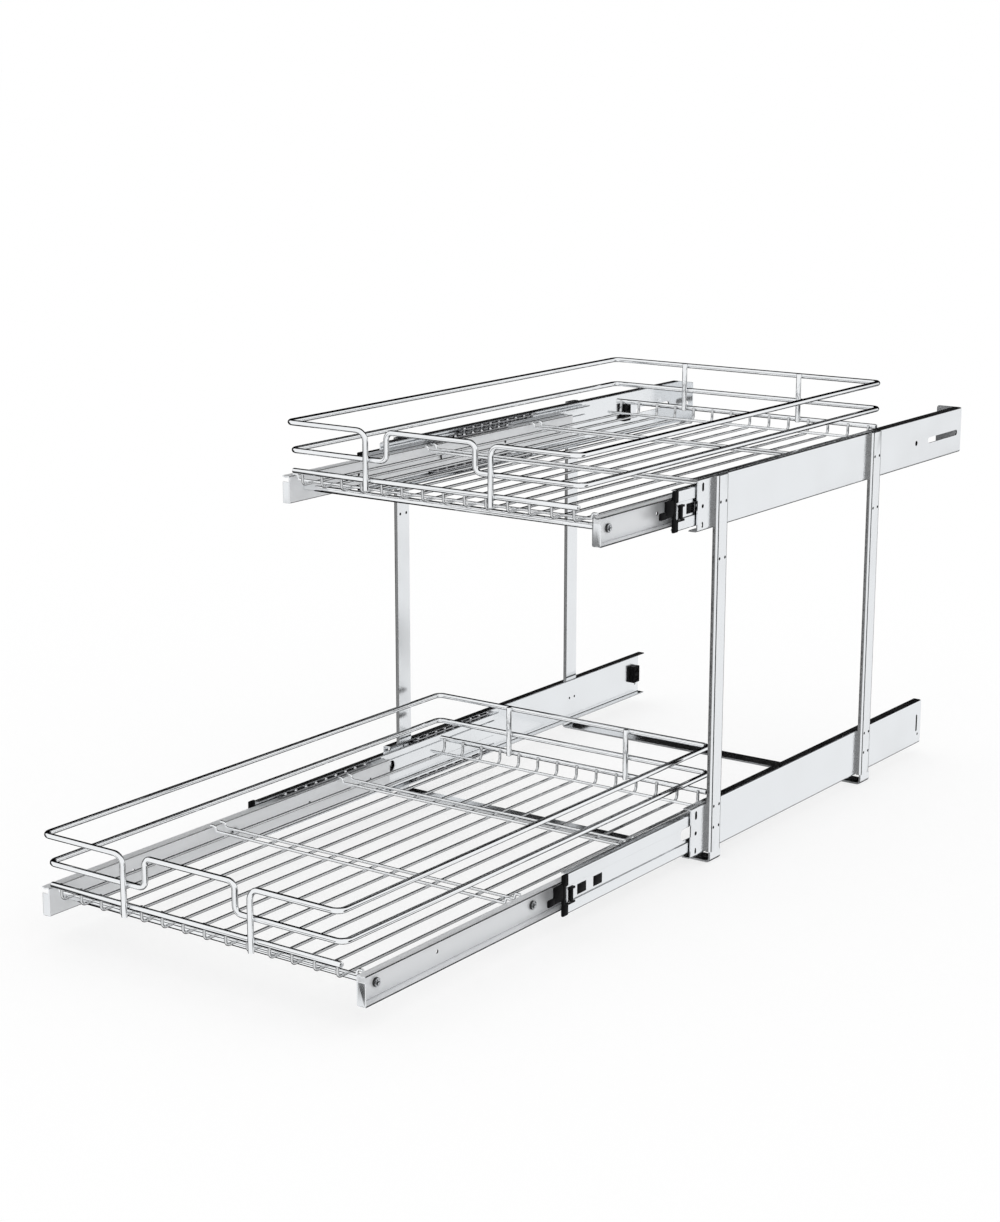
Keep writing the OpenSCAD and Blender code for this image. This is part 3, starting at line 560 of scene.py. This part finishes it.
zinc = zinc_sheet("zinc_sheet", (1, 0.04, 1))
# Near-black steel: painted shade on the rails' free edges and on the screw heads' flanks.
edge_shade = painted_shade_steel("painted_shade_edge", 0.03, 0.06)
# Near-black and matt: painted shade on the walls of holes.
hole_shade = painted_shade_steel("painted_hole_shade", 0.004, 0.008, bright=0)
for tier in tiers:
    low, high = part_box("housing_" + tier + "_right")
    mid_z = (low.z + high.z) / 2
    half = (high.z - low.z) / 2
    flat_half = half - housing_bend
    housing = lay_sheet(
        "housing_" + tier + "_right_channel", face_x, 1,
        (low.y, high.y), (mid_z - flat_half, mid_z + flat_half))
    for up in [1, -1]:
        pick_edges(housing, lambda p: near(p.z, mid_z + up * flat_half))
        curl((face_x - housing_bend, 0, mid_z + up * flat_half), (0, -up, 0), 90)
        draw_out((housing_bend + lip_bend - housing_flange, 0, 0))
        lip_centre = (face_x - housing_flange + lip_bend, 0, mid_z + up * (half - lip_bend))
        curl(lip_centre, (0, -up, 0), housing_lip_angle)
    thicken(housing, sheet)
    if tier == "upper":
        weld_on(housing, screw_tab(high.y, low.z, high.z))
    holes = []
    for rise, radius, stretch in front_holes:
        holes.append(((face_x, low.y + front_hole_back, mid_z + rise), radius, (0, 0, stretch)))
    for y, rise, radius, stretch in rear_holes[tier]:
        holes.append(((face_x, y, mid_z + rise), radius, stretch))
    punch(housing, holes)
    break_edges(housing, edge_rounding)
    housing.data.materials.append(zinc)
    line_holes(housing, holes, hole_shade)
    twin = mirror_piece(housing, "housing_" + tier + "_left_channel")
    for piece, side in [(housing, "right"), (twin, "left")]:
        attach(piece, "frame")
        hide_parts("housing_" + tier + "_" + side)

# Hoops. Each is one 1.8 mm zinc-plated strip bent up at both feet; its posts get turned-in edges
# and a thin inner wall that lies on the housings, and a row of unused holes below the upper slide.
strip_t = 1.8 * mm
strip_rounding = 0.25 * mm
post_wall = 1.2 * mm
post_wall_inset = 0.1 * mm
post_wall_rounding = 0.2 * mm
post_bend = 2.6 * mm
foot_bend = 4 * mm
rivet_pair = 9.2 * mm
rivet_hole_r = 1.4 * mm
ground_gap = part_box("housing_lower_right")[0].z
lower_rows = [22.7 * mm, 42.5 * mm]
upper_row = 22.7 * mm
spare_drop = 27.5 * mm
upper_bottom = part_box("housing_upper_right")[0].z
rivet_rows = [ground_gap + row for row in lower_rows] + [upper_bottom + upper_row]
hole_rows = rivet_rows + [upper_bottom - spare_drop]
zinc_strip = zinc_sheet("zinc_strip", (0.3, 1, 0.04))
# Dark grey steel: painted shade on the posts' forward-facing flanges.
painted_flange_shade = painted_shade_steel("painted_flange_shade", 0.20, 0.30)
for end in ["front", "rear"]:
    low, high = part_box("hoop_" + end)
    mid_y = (low.y + high.y) / 2
    half_w = (high.y - low.y) / 2
    strap_half = high.x - foot_bend
    bpy.ops.object.select_all(action="DESELECT")
    bpy.ops.mesh.primitive_plane_add(size=1, location=(0, mid_y, 0), rotation=(math.pi, 0, 0))
    hoop = bpy.context.object
    hoop.name = "hoop_" + end + "_strip"
    hoop.scale = (2 * strap_half, 2 * half_w, 1)
    bpy.ops.object.transform_apply(location=True, rotation=True, scale=True)
    bpy.ops.object.mode_set(mode="EDIT")
    for side in [1, -1]:
        pick_edges(hoop, lambda p: near(p.x, side * strap_half))
        curl((side * strap_half, 0, foot_bend), (0, -side, 0), 90)
        draw_out((0, 0, ground_gap - foot_bend))
    thicken(hoop, strip_t)
    post = lay_sheet(
        "post", high.x, 1,
        (mid_y - half_w + post_bend, mid_y + half_w - post_bend), (ground_gap, high.z))
    for rear in [1, -1]:
        edge_y = mid_y + rear * (half_w - post_bend)
        pick_edges(post, lambda p: near(p.y, edge_y))
        curl((high.x - post_bend, edge_y, 0), (0, 0, rear), 90)
        draw_out((face_x + post_bend - high.x, 0, 0))
    thicken(post, strip_t)
    wall = rounded_block(
        "post_wall", (face_x, mid_y - half_w + post_wall_inset, ground_gap),
        (face_x + post_wall, mid_y + half_w - post_wall_inset, high.z),
        post_wall_rounding, along=2)
    weld_on(post, wall)
    twin = mirror_piece(post, "twin_post")
    weld_on(hoop, post)
    weld_on(hoop, twin)
    holes = []
    for side in [1, -1]:
        for row in hole_rows:
            for pair in [-1, 1]:
                centre = (side * high.x, mid_y + pair * rivet_pair / 2, row)
                holes.append((centre, rivet_hole_r, (0, 0, 0)))
    punch(hoop, holes)
    break_edges(hoop, strip_rounding)
    hoop.data.materials.append(zinc_strip)
    line_holes(hoop, holes, hole_shade)
    flange_shade_index = len(hoop.data.materials)
    hoop.data.materials.append(painted_flange_shade)
    # Forward-facing faces on the front half of each hoop get the dark grey steel: painted shade.
    for face in hoop.data.polygons:
        if face.normal.y < -0.97 and face.center.y < mid_y and face.center.z > ground_gap:
            face.material_index = flange_shade_index
    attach(hoop, "frame")
    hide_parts("hoop_" + end)

# Post rivets. Blackened shoulder rivets clinch the posts to the housings; each has a wide collar
# between the post's two walls and a domed end just below the post's face.
rivet_r = 1.35 * mm
collar_r = 2.3 * mm
rivet_recess = 0.8 * mm
rivet_dome = 0.3 * mm
stud_sides = 20
dome_steps = 3


def turned_stud(name, start, steps, dome):
    """Turns a stepped round stud along +X: each step is a length and a radius."""
    bpy.ops.object.select_all(action="DESELECT")
    bpy.ops.mesh.primitive_circle_add(
        vertices=stud_sides, radius=steps[0][1], fill_type="NGON",
        location=start, rotation=(0, math.pi / 2, 0))
    stud = bpy.context.object
    stud.name = name
    bpy.ops.object.transform_apply(location=True, rotation=True, scale=True)
    bpy.ops.object.mode_set(mode="EDIT")
    bpy.ops.mesh.select_all(action="SELECT")
    x = start[0]
    radius = steps[0][1]
    for length, next_radius in steps:
        if next_radius != radius:
            draw_out((0, 0, 0))
            ratio = next_radius / radius
            bpy.ops.transform.resize(
                value=(ratio, ratio, ratio), center_override=(x, start[1], start[2]))
            radius = next_radius
        draw_out((length, 0, 0))
        x += length
    bpy.ops.mesh.bevel(offset=dome, segments=dome_steps)
    bpy.ops.mesh.select_all(action="SELECT")
    bpy.ops.mesh.normals_make_consistent(inside=False)
    bpy.ops.object.mode_set(mode="OBJECT")
    bpy.ops.object.shade_smooth_by_angle(angle=block_smooth_angle)
    return stud


def blackened_steel():
    """Steel dipped in black phosphate: matt, nearly black, with rubbed grey spots."""
    material, nodes, links, shader = new_material("blackened_steel")
    shader.inputs["Specular IOR Level"].default_value = 0.08
    spots = noise(nodes, links, 700)
    tone(nodes, links, shader, spots, (0.008, 0.008, 0.009), (0.03, 0.03, 0.032))
    gloss(nodes, links, shader, spots, 0.45, 0.6)
    return material


blackened = blackened_steel()
post_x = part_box("hoop_front")[1].x
rivet_steps = [
    (sheet + post_wall, rivet_r),
    (post_x - strip_t - face_x - post_wall, collar_r),
    (strip_t - rivet_recess, rivet_r),
]
first = None
count = 0
for end in ["front", "rear"]:
    low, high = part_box("hoop_" + end)
    mid_y = (low.y + high.y) / 2
    for row in rivet_rows:
        for pair in [-1, 1]:
            place = Vector((face_x - sheet, mid_y + pair * rivet_pair / 2, row))
            count += 1
            if first is None:
                first = turned_stud("post_rivet_right_01", place, rivet_steps, rivet_dome)
                first.data.materials.append(blackened)
                first_place = place
                right = first
                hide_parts("post_rivets")
            else:
                right = copy_along(first, f"post_rivet_right_{count:02d}", place - first_place)
            left = mirror_piece(right, f"post_rivet_left_{count:02d}")
            for rivet in [right, left]:
                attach(rivet, "frame")

# Middle members. The sliding strip between housing and drawer rail has a web pressed back along
# its middle, two windows for the bumper's barbs, a stop slot, and rounded flanges for the balls.
member_bend = 1.8 * mm
recess_half = 6.8 * mm
recess_slope = 0.7 * mm
member_flange = 8.3 * mm
member_lip_angle = 35
window_places = [15 * mm, 39.2 * mm]
window_size = (4 * mm, 13.5 * mm, 9 * mm)
window_drop = 0.6 * mm
window_lead = 2.5 * mm
window_rounding = 0.6 * mm
stop_slot_place = 184.8 * mm
stop_slot_rise = 1 * mm
stop_slot_r = 5.5 * mm
stop_slot_stretch = (0, 14 * mm, 0)
for tier in tiers:
    low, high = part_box(tier + "_middle_right")
    mid_z = (low.z + high.z) / 2
    half = (high.z - low.z) / 2
    recess_x = high.x - sheet
    member = lay_sheet(
        tier + "_middle_right_member", recess_x, 1,
        (low.y, high.y), (mid_z - recess_half, mid_z + recess_half))
    for up in [1, -1]:
        pick_edges(member, lambda p: near(p.z, mid_z + up * recess_half))
        draw_out((sheet, 0, up * recess_slope))
        draw_out((0, 0, up * (half - member_bend - recess_half - recess_slope)))
        curl((high.x - member_bend, 0, mid_z + up * (half - member_bend)), (0, -up, 0), 90)
        draw_out((member_bend + lip_bend - member_flange, 0, 0))
        lip_centre = (high.x - member_flange + lip_bend, 0, mid_z + up * (half - lip_bend))
        curl(lip_centre, (0, -up, 0), member_lip_angle)
    thicken(member, sheet)
    window_z = mid_z - window_drop - window_size[2] / 2
    for place in window_places:
        corner = Vector((recess_x - window_lead, low.y + place, window_z))
        cut(member, rounded_block(
            "window", corner, corner + Vector(window_size), window_rounding, along=0))
    stop_slot = (recess_x, low.y + stop_slot_place, mid_z + stop_slot_rise)
    punch(member, [(stop_slot, stop_slot_r, stop_slot_stretch)])
    break_edges(member, edge_rounding)
    member.data.materials.append(zinc)
    twin = mirror_piece(member, tier + "_middle_left_member")
    for piece, side in [(member, "right"), (twin, "left")]:
        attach(piece, tier + "_middle_" + side)
        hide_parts(tier + "_middle_" + side)

# Drawer rails. The inner member of each slide is the rail that carries the basket: a channel open
# towards the housing, pierced along its web, with a plate bent across its front end.
rail_bend = 1.6 * mm
rail_plate_h = 19.5 * mm
rail_plate_rounding = 0.5 * mm
race_steps = [  # run inwards and dip of the ball race
    (1.0 * mm, 0), (1.1 * mm, 0.5 * mm), (1.3 * mm, 0.35 * mm),
    (1.3 * mm, -0.35 * mm), (1.1 * mm, -0.5 * mm), (1.0 * mm, 0),
]
spare_places = [97.6 * mm, 330 * mm, 420 * mm]
spare_hole_r = 1.6 * mm
rail_edge_band = 0.3 * mm
plate_face_band = 0.5 * mm


def satin_zinc():
    """The rails' thinner, duller zinc: satin, with a grain along the strip and darker streaks."""
    material, nodes, links, shader = new_material("satin_zinc")
    shader.inputs["Metallic"].default_value = 0.4
    streaks = noise(nodes, links, 40, stretch=(1, 0.3, 1))
    tone(nodes, links, shader, streaks, (0.79, 0.80, 0.815), (0.86, 0.87, 0.88))
    gloss(nodes, links, shader, streaks, 0.36, 0.46)
    grain = noise(nodes, links, 700, stretch=(1, 0.03, 1), detail=2)
    relief(nodes, links, shader, grain, 0.05)
    return material


satin = satin_zinc()
# Dark grey steel: painted shade on the rails' bends.
bend_shade = painted_shade_steel("painted_bend_shade", 0.30, 0.42)
for tier in tiers:
    low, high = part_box(tier + "_rail_right")
    mid_z = (low.z + high.z) / 2
    half = (high.z - low.z) / 2
    flat_half = half - rail_bend
    rail = lay_sheet(
        tier + "_rail_right_channel", low.x, -1,
        (low.y, high.y), (mid_z - flat_half, mid_z + flat_half))
    for up in [1, -1]:
        pick_edges(rail, lambda p: near(p.z, mid_z + up * flat_half))
        curl((low.x + rail_bend, 0, mid_z + up * flat_half), (0, up, 0), 90)
        for run, dip in race_steps:
            draw_out((run, 0, -up * dip))
    thicken(rail, sheet)
    plate = rounded_block(
        "plate", (low.x, low.y, low.z), (high.x, low.y + sheet, low.z + rail_plate_h),
        rail_plate_rounding)
    weld_on(rail, plate)
    holes = [((low.x, low.y + place, mid_z), spare_hole_r, (0, 0, 0)) for place in spare_places]
    punch(rail, holes)
    break_edges(rail, edge_rounding)
    finishes = [satin, edge_shade, bend_shade, zinc]
    for finish in finishes:
        rail.data.materials.append(finish)
    for face in rail.data.polygons:
        at_edge = face.center.x > high.x - rail_edge_band and face.center.y > low.y + 2 * sheet
        at_plate = face.center.y < low.y + plate_face_band
        # The rails' free edges get the near-black steel: painted shade.
        if face.normal.x > 0.9 and at_edge:
            face.material_index = finishes.index(edge_shade)
        # The rails' bends get the dark grey steel: painted shade.
        elif 0.5 < abs(face.normal.x) < 0.95 and abs(face.normal.z) > 0.3:
            face.material_index = finishes.index(bend_shade)
        elif face.normal.y < -0.9 and at_plate:
            face.material_index = finishes.index(zinc)
    line_holes(rail, holes, hole_shade)
    twin = mirror_piece(rail, tier + "_rail_left_channel")
    for piece, side in [(rail, "right"), (twin, "left")]:
        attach(piece, tier + "_basket")
        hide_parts(tier + "_rail_" + side)

# Bumpers. A black moulded cap clips over the front of each middle member: two lugs on the flanges,
# a strip between them, a stop block with a knob ahead, and a tail whose barbs fill the windows.
bumper_parts = [  # two corners, in mm inwards, ahead and up, and the rounding
    ((1.5, 0, 7.4), (4.2, 8.2, 18.2), 1.2),
    ((1.5, 0, -18.2), (4.2, 8.2, -7.4), 1.2),
    ((1.8, 3.6, -12), (4.1, 7.8, 12), 0.8),
    ((2.0, 5, -2.2), (4.1, 20, 11), 1.0),
    ((2.3, 5.6, -4.0), (4.0, 21, -1), 0.8),
    ((1.7, 19, -4.2), (4.1, 29, 2.2), 1.1),
    ((1.6, -10, -9.6), (2.8, 5, -7.6), 0.4),
    ((1.6, -7, -8.8), (3.1, -3.4, 3.8), 0.4),
    ((1.6, -10, 2.6), (3.2, -2.6, 4.6), 0.4),
]
barb_gap = 0.4 * mm
barb_sink = 0.1 * mm
barb_depth = 0.8 * mm
barb_rounding = 0.25 * mm


def moulded_plastic():
    """Black moulded nylon: slightly glossy, finely spark-eroded, with scuffed patches."""
    material, nodes, links, shader = new_material("moulded_black_plastic")
    grain = noise(nodes, links, 1500, detail=2)
    scuffs = noise(nodes, links, 120)
    tone(nodes, links, shader, scuffs, (0.003, 0.003, 0.003), (0.008, 0.008, 0.009))
    gloss(nodes, links, shader, scuffs, 0.2, 0.36)
    shader.inputs["Specular IOR Level"].default_value = 0.03
    relief(nodes, links, shader, grain, 0.15)
    return material


plastic = moulded_plastic()
for tier in tiers:
    low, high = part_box(tier + "_middle_right")
    mid_z = (low.z + high.z) / 2
    cap = None
    for near_corner, far_corner, rounding in bumper_parts:
        part = rounded_block(
            tier + "_bumper_right_cap",
            (face_x - far_corner[0] * mm, low.y - far_corner[1] * mm, mid_z + near_corner[2] * mm),
            (face_x - near_corner[0] * mm, low.y - near_corner[1] * mm, mid_z + far_corner[2] * mm),
            rounding * mm)
        if cap is None:
            cap = part
        else:
            weld_on(cap, part)
    barb_x = high.x - 2 * sheet + barb_sink
    barb_z = mid_z - window_drop - window_size[2] / 2 + barb_gap
    barb_size = Vector((barb_depth, window_size[1] - 2 * barb_gap, window_size[2] - 2 * barb_gap))
    for place in window_places:
        corner = Vector((barb_x, low.y + place + barb_gap, barb_z))
        weld_on(cap, rounded_block("barb", corner, corner + barb_size, barb_rounding))
    take(cap)
    bpy.ops.object.shade_smooth_by_angle(angle=block_smooth_angle)
    cap.data.materials.append(plastic)
    twin = mirror_piece(cap, tier + "_bumper_left_cap")
    for piece, side in [(cap, "right"), (twin, "left")]:
        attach(piece, tier + "_middle_" + side)
        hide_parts(tier + "_bumper_" + side)

# Tie rods and rail screws. A chromed 6 mm rod spans the drawer rails at the front and is drawn
# tight by a pan-head screw at each end; one more, with a washer, sits further back on each rail.
tie_rod_r = 3 * mm
tie_rod_sides = 24
screw_r = 2 * mm
screw_head_r = 3.8 * mm
screw_head_h = 2.2 * mm
screw_dome = 0.5 * mm
washer_h = 2 * mm
cross_reach = 0.6 * screw_head_r
cross_recess = 0.9 * mm
cross_depth = 1 * mm
cross_rounding = 0.1 * mm
rail_web_in = 12.7 * mm - sheet


def bright_screw_steel():
    """Bright zinc on turned steel: fine turning rings, slightly darker than the sheet parts."""
    material, nodes, links, shader = new_material("bright_screw_steel")
    shader.inputs["Metallic"].default_value = 1
    clouds = noise(nodes, links, 300)
    tone(nodes, links, shader, clouds, (0.50, 0.51, 0.53), (0.68, 0.69, 0.70))
    gloss(nodes, links, shader, clouds, 0.18, 0.3)
    rings = noise(nodes, links, 1800, stretch=(1, 0.2, 0.2))
    relief(nodes, links, shader, rings, 0.05)
    return material


screw_steel = bright_screw_steel()
for tier in tiers:
    low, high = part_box(tier + "_tie_rod")
    rod_y = (low.y + high.y) / 2
    rod_z = (low.z + high.z) / 2
    rod = bend_wire(
        tier + "_tie_rod_turned", [(low.x, rod_y, rod_z), (high.x, rod_y, rod_z)],
        [0, 0], tie_rod_r, tie_rod_sides)
    rod.data.materials.append(chrome)
    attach(rod, tier + "_basket")
    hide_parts(tier + "_tie_rod")
    rear_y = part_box(tier + "_rail_screws")[1].y - screw_head_r
    for place, y in [("front", rod_y), ("rear", rear_y)]:
        if place == "front":
            steps = [(sheet, screw_r), (screw_head_h, screw_head_r)]
            start = Vector((face_x - rail_web_in - sheet, y, rod_z))
        else:
            steps = [(washer_h, screw_head_r), (sheet, screw_r), (screw_head_h, screw_head_r)]
            start = Vector((face_x - rail_web_in - sheet - washer_h, y, rod_z))
        screw = turned_stud(f"{tier}_{place}_screw_right", start, steps, screw_dome)
        head_x = face_x - rail_web_in + screw_head_h
        for arm_y, arm_z in [(cross_recess / 2, cross_reach), (cross_reach, cross_recess / 2)]:
            cut(screw, rounded_block(
                "cross", (head_x - cross_depth, y - arm_y, rod_z - arm_z),
                (head_x + cross_depth, y + arm_y, rod_z + arm_z), cross_rounding, along=0))
        screw.data.materials.append(screw_steel)
        # The flank of each screw head gets the near-black steel: painted shade round the bright
        # top.
        screw.data.materials.append(edge_shade)
        for face in screw.data.polygons:
            if abs(face.normal.x) < 0.8:
                face.material_index = 1
        left = mirror_piece(screw, f"{tier}_{place}_screw_left")
        if place == "front":
            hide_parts(tier + "_rail_screws")
        for piece in [screw, left]:
            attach(piece, tier + "_basket")

# Rear buffers. Black moulded stops sit inside the housings, where the members strike them at the
# end of their travel; a lower one is held by a blade in a slot, an upper one by a peg in a hole.
buffer_size = Vector((5.5 * mm, 12 * mm, 18.4 * mm))
buffer_y = {"lower": 260 * mm, "upper": 234.5 * mm}
buffer_rounding = 0.9 * mm
groove_places = [-5 * mm, 5 * mm]
groove_half = 1.1 * mm
groove_lead = 1 * mm
groove_depth = 1.2 * mm
groove_ends = (2 * mm, 10 * mm)
small_rounding = 0.3 * mm
blade_half = (1.3 * mm, 7 * mm)
blade_recess = 0.4 * mm
peg_r = 2.45 * mm
peg_length = 1.5 * sheet
first = None
for tier in tiers:
    low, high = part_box("housing_" + tier + "_right")
    mid_z = (low.z + high.z) / 2
    corner = Vector((face_x - sheet - buffer_size.x, buffer_y[tier], mid_z - buffer_size.z / 2))
    stop = rounded_block(tier + "_buffer_right", corner, corner + buffer_size, buffer_rounding)
    for place in groove_places:
        groove_z = mid_z + place
        cut(stop, rounded_block(
            "groove",
            (corner.x - groove_lead, corner.y + groove_ends[0], groove_z - groove_half),
            (corner.x + groove_depth, corner.y + groove_ends[1], groove_z + groove_half),
            small_rounding))
    if tier == "lower":
        weld_on(stop, rounded_block(
            "blade", (face_x - 2 * sheet, blade_y - blade_half[0], mid_z - blade_half[1]),
            (face_x - blade_recess, blade_y + blade_half[0], mid_z + blade_half[1]),
            small_rounding))
    else:
        weld_on(stop, turned_stud(
            "peg", (face_x - 2 * sheet, peg_y, mid_z - peg_drop), [(peg_length, peg_r)],
            small_rounding))
    stop.data.materials.append(plastic)
    left = mirror_piece(stop, tier + "_buffer_left")
    if first is None:
        first = stop
        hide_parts("rear_buffers")
    for piece in [stop, left]:
        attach(piece, "frame")

# Ball rows. Each slide has two cages, thin steel strips that keep the balls apart, with polished
# balls above and below; only their finish is added here.


def cage_steel():
    """Thin cage strip of darker steel with a drawn grain and patches; the dark is oil and painted
    shade of the slide's inside.
    """
    material, nodes, links, shader = new_material("oiled_and_shaded_cage_steel")
    shader.inputs["Metallic"].default_value = 1
    oil_and_shade = noise(nodes, links, 60)
    tone(nodes, links, shader, oil_and_shade, (0.30, 0.30, 0.31), (0.48, 0.48, 0.49))
    gloss(nodes, links, shader, oil_and_shade, 0.2, 0.36)
    grain = noise(nodes, links, 600, stretch=(1, 0.05, 1))
    relief(nodes, links, shader, grain, 0.06)
    return material


def ball_steel():
    """Polished bearing steel with a trace of grease."""
    material, nodes, links, shader = new_material("polished_ball_steel")
    shader.inputs["Metallic"].default_value = 1
    grease = noise(nodes, links, 200)
    tone(nodes, links, shader, grease, (0.62, 0.62, 0.63), (0.78, 0.78, 0.79))
    gloss(nodes, links, shader, grease, 0.04, 0.14)
    return material


caged = cage_steel()
polished = ball_steel()
for name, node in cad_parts.items():
    if "_cage_" in name or "_balls_" in name:
        node.data.materials.clear()
        node.data.materials.append(caged if "_cage_" in name else polished)

# Welds. Wherever a cross wire lies on a floor wire, the resistance welder leaves a small flattened
# bead of steel between the two, under the chrome.
bead_r = 1.1 * mm
bead_h = 1.3 * mm
bead_sides = 8
bead_foot = 0.4
bead_rings = [(0.3, 1.8), (0.4, 1.4), (0.3, 0.5)]  # share of the height, growth of the ring


def weld_bead(name, centre):
    """A flat bead of metal squeezed out round a weld: a small lens with a soft rim."""
    bpy.ops.object.select_all(action="DESELECT")
    bpy.ops.mesh.primitive_circle_add(
        vertices=bead_sides, radius=bead_foot * bead_r, fill_type="NGON", location=centre)
    bead = bpy.context.object
    bead.name = name
    bpy.ops.object.transform_apply(location=True, rotation=True, scale=True)
    bpy.ops.object.mode_set(mode="EDIT")
    bpy.ops.mesh.select_all(action="SELECT")
    bpy.ops.transform.translate(value=(0, 0, -bead_h / 2))
    z = centre[2] - bead_h / 2
    for rise, ratio in bead_rings:
        z += rise * bead_h
        draw_out((0, 0, rise * bead_h))
        bpy.ops.transform.resize(value=(ratio, ratio, 1), center_override=(centre[0], centre[1], z))
    bpy.ops.mesh.select_all(action="SELECT")
    bpy.ops.mesh.normals_make_consistent(inside=False)
    bpy.ops.object.mode_set(mode="OBJECT")
    bpy.ops.object.shade_smooth()
    return bead


for tier in tiers:
    low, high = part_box(tier + "_floor_wires")
    basket_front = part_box(tier + "_mid_rim")[0].y + rim_wire_r
    last_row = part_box(tier + "_cross_wires")[1].y - thin_wire_r
    first_x = low.x + thin_wire_r
    pitch = (high.x - low.x - 2 * thin_wire_r) / (floor_wires_n - 1)
    contact_z = low.z + 2 * thin_wire_r
    places = []
    for i in range(floor_wires_n):
        for y in [basket_front + place for place in cross_places] + [last_row]:
            places.append((first_x + i * pitch, y, contact_z))
    bead = weld_bead(tier + "_weld_beads", places[0])
    beads = [bead]
    for place in places[1:]:
        beads.append(copy_along(bead, "bead", Vector(place) - Vector(places[0])))
    take(*beads)
    bpy.ops.object.join()
    bead.data.materials.append(chrome)
    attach(bead, tier + "_basket")

# Studio. A white floor and a soft white room round the object. Polished metal mirrors the room,
# which has a few dark patches, so that every wire and edge gets a clear dark line.
floor_half = 40
floor_glow = 0.6
room_patches = [  # direction, angles at which a patch starts to fade and is gone, its light
    ((-0.60, 0.80, 0.00), 52, 60, 0.0),
    ((0.87, 0.38, -0.31), 18, 26, 0.0),
    ((-0.25, 0.65, 0.72), 40, 47, 0.0),
    ((-0.45, 0.40, 0.80), 26, 34, 0.0),
    ((-0.97, -0.05, -0.25), 20, 28, 0.05),
    ((-0.45, 0.45, -0.77), 44, 52, 0.0),
    ((-0.46, -0.86, -0.22), 6, 12, 0.05),
]
bpy.ops.object.select_all(action="DESELECT")
bpy.ops.mesh.primitive_plane_add(size=2 * floor_half, location=(0, 0, 0))
floor = bpy.context.object
floor.name = "studio_floor"
material, nodes, links, shader = new_material("studio_floor_white")
shader.inputs["Base Color"].default_value = (1, 1, 1, 1)
shader.inputs["Roughness"].default_value = 0.9
shader.inputs["Specular IOR Level"].default_value = 0
output = nodes["Material Output"]
glow = nodes.new("ShaderNodeEmission")
seen = nodes.new("ShaderNodeMixShader")
seen.inputs[0].default_value = floor_glow
links.new(shader.outputs["BSDF"], seen.inputs[1])
links.new(glow.outputs["Emission"], seen.inputs[2])
path = nodes.new("ShaderNodeLightPath")
clear = nodes.new("ShaderNodeBsdfTransparent")
choice = nodes.new("ShaderNodeMixShader")
links.new(path.outputs["Is Glossy Ray"], choice.inputs[0])
links.new(seen.outputs["Shader"], choice.inputs[1])
links.new(clear.outputs["BSDF"], choice.inputs[2])
links.new(choice.outputs["Shader"], output.inputs["Surface"])
floor.data.materials.append(material)

world = bpy.data.worlds.new("studio_world")
bpy.context.scene.world = world
world.use_nodes = True
nodes = world.node_tree.nodes
links = world.node_tree.links
nodes.clear()
output = nodes.new("ShaderNodeOutputWorld")
path = nodes.new("ShaderNodeLightPath")
white = nodes.new("ShaderNodeBackground")
white.inputs["Color"].default_value = (1, 1, 1, 1)
studio = nodes.new("ShaderNodeBackground")
studio.inputs["Color"].default_value = (0.98, 0.99, 1, 1)
place = nodes.new("ShaderNodeTexCoord")
level = None
for way, inner, outer, dark in room_patches:
    facing = nodes.new("ShaderNodeVectorMath")
    facing.operation = "DOT_PRODUCT"
    facing.inputs[1].default_value = way
    shade = nodes.new("ShaderNodeMapRange")
    shade.interpolation_type = "SMOOTHSTEP"
    shade.inputs["From Min"].default_value = math.cos(math.radians(outer))
    shade.inputs["From Max"].default_value = math.cos(math.radians(inner))
    shade.inputs["To Min"].default_value = 1.0
    shade.inputs["To Max"].default_value = dark
    links.new(place.outputs["Generated"], facing.inputs[0])
    links.new(facing.outputs["Value"], shade.inputs["Value"])
    darker = nodes.new("ShaderNodeMath")
    darker.operation = "MINIMUM"
    darker.inputs[0].default_value = 1.0
    if level is not None:
        links.new(level, darker.inputs[0])
    links.new(shade.outputs["Result"], darker.inputs[1])
    level = darker.outputs["Value"]
links.new(level, studio.inputs["Strength"])
mix = nodes.new("ShaderNodeMixShader")
links.new(path.outputs["Is Glossy Ray"], mix.inputs[0])
links.new(white.outputs["Background"], mix.inputs[1])
links.new(studio.outputs["Background"], mix.inputs[2])
links.new(mix.outputs["Shader"], output.inputs["Surface"])

camera_data = bpy.data.cameras.new("camera")
camera = bpy.data.objects.new("camera", camera_data)
bpy.context.scene.collection.objects.link(camera)
bpy.context.scene.camera = camera
camera.location = (1.22651, -1.94276, 0.71705)
camera.rotation_euler = (math.radians(75.79), math.radians(0.01), math.radians(35.79))
camera_data.sensor_fit = "HORIZONTAL"
camera_data.sensor_width = 36
camera_data.lens = 87.26
camera_data.shift_x = 0.0085
camera_data.shift_y = 0.0422
camera_data.clip_end = 100
bpy.context.scene.view_settings.view_transform = "Standard"
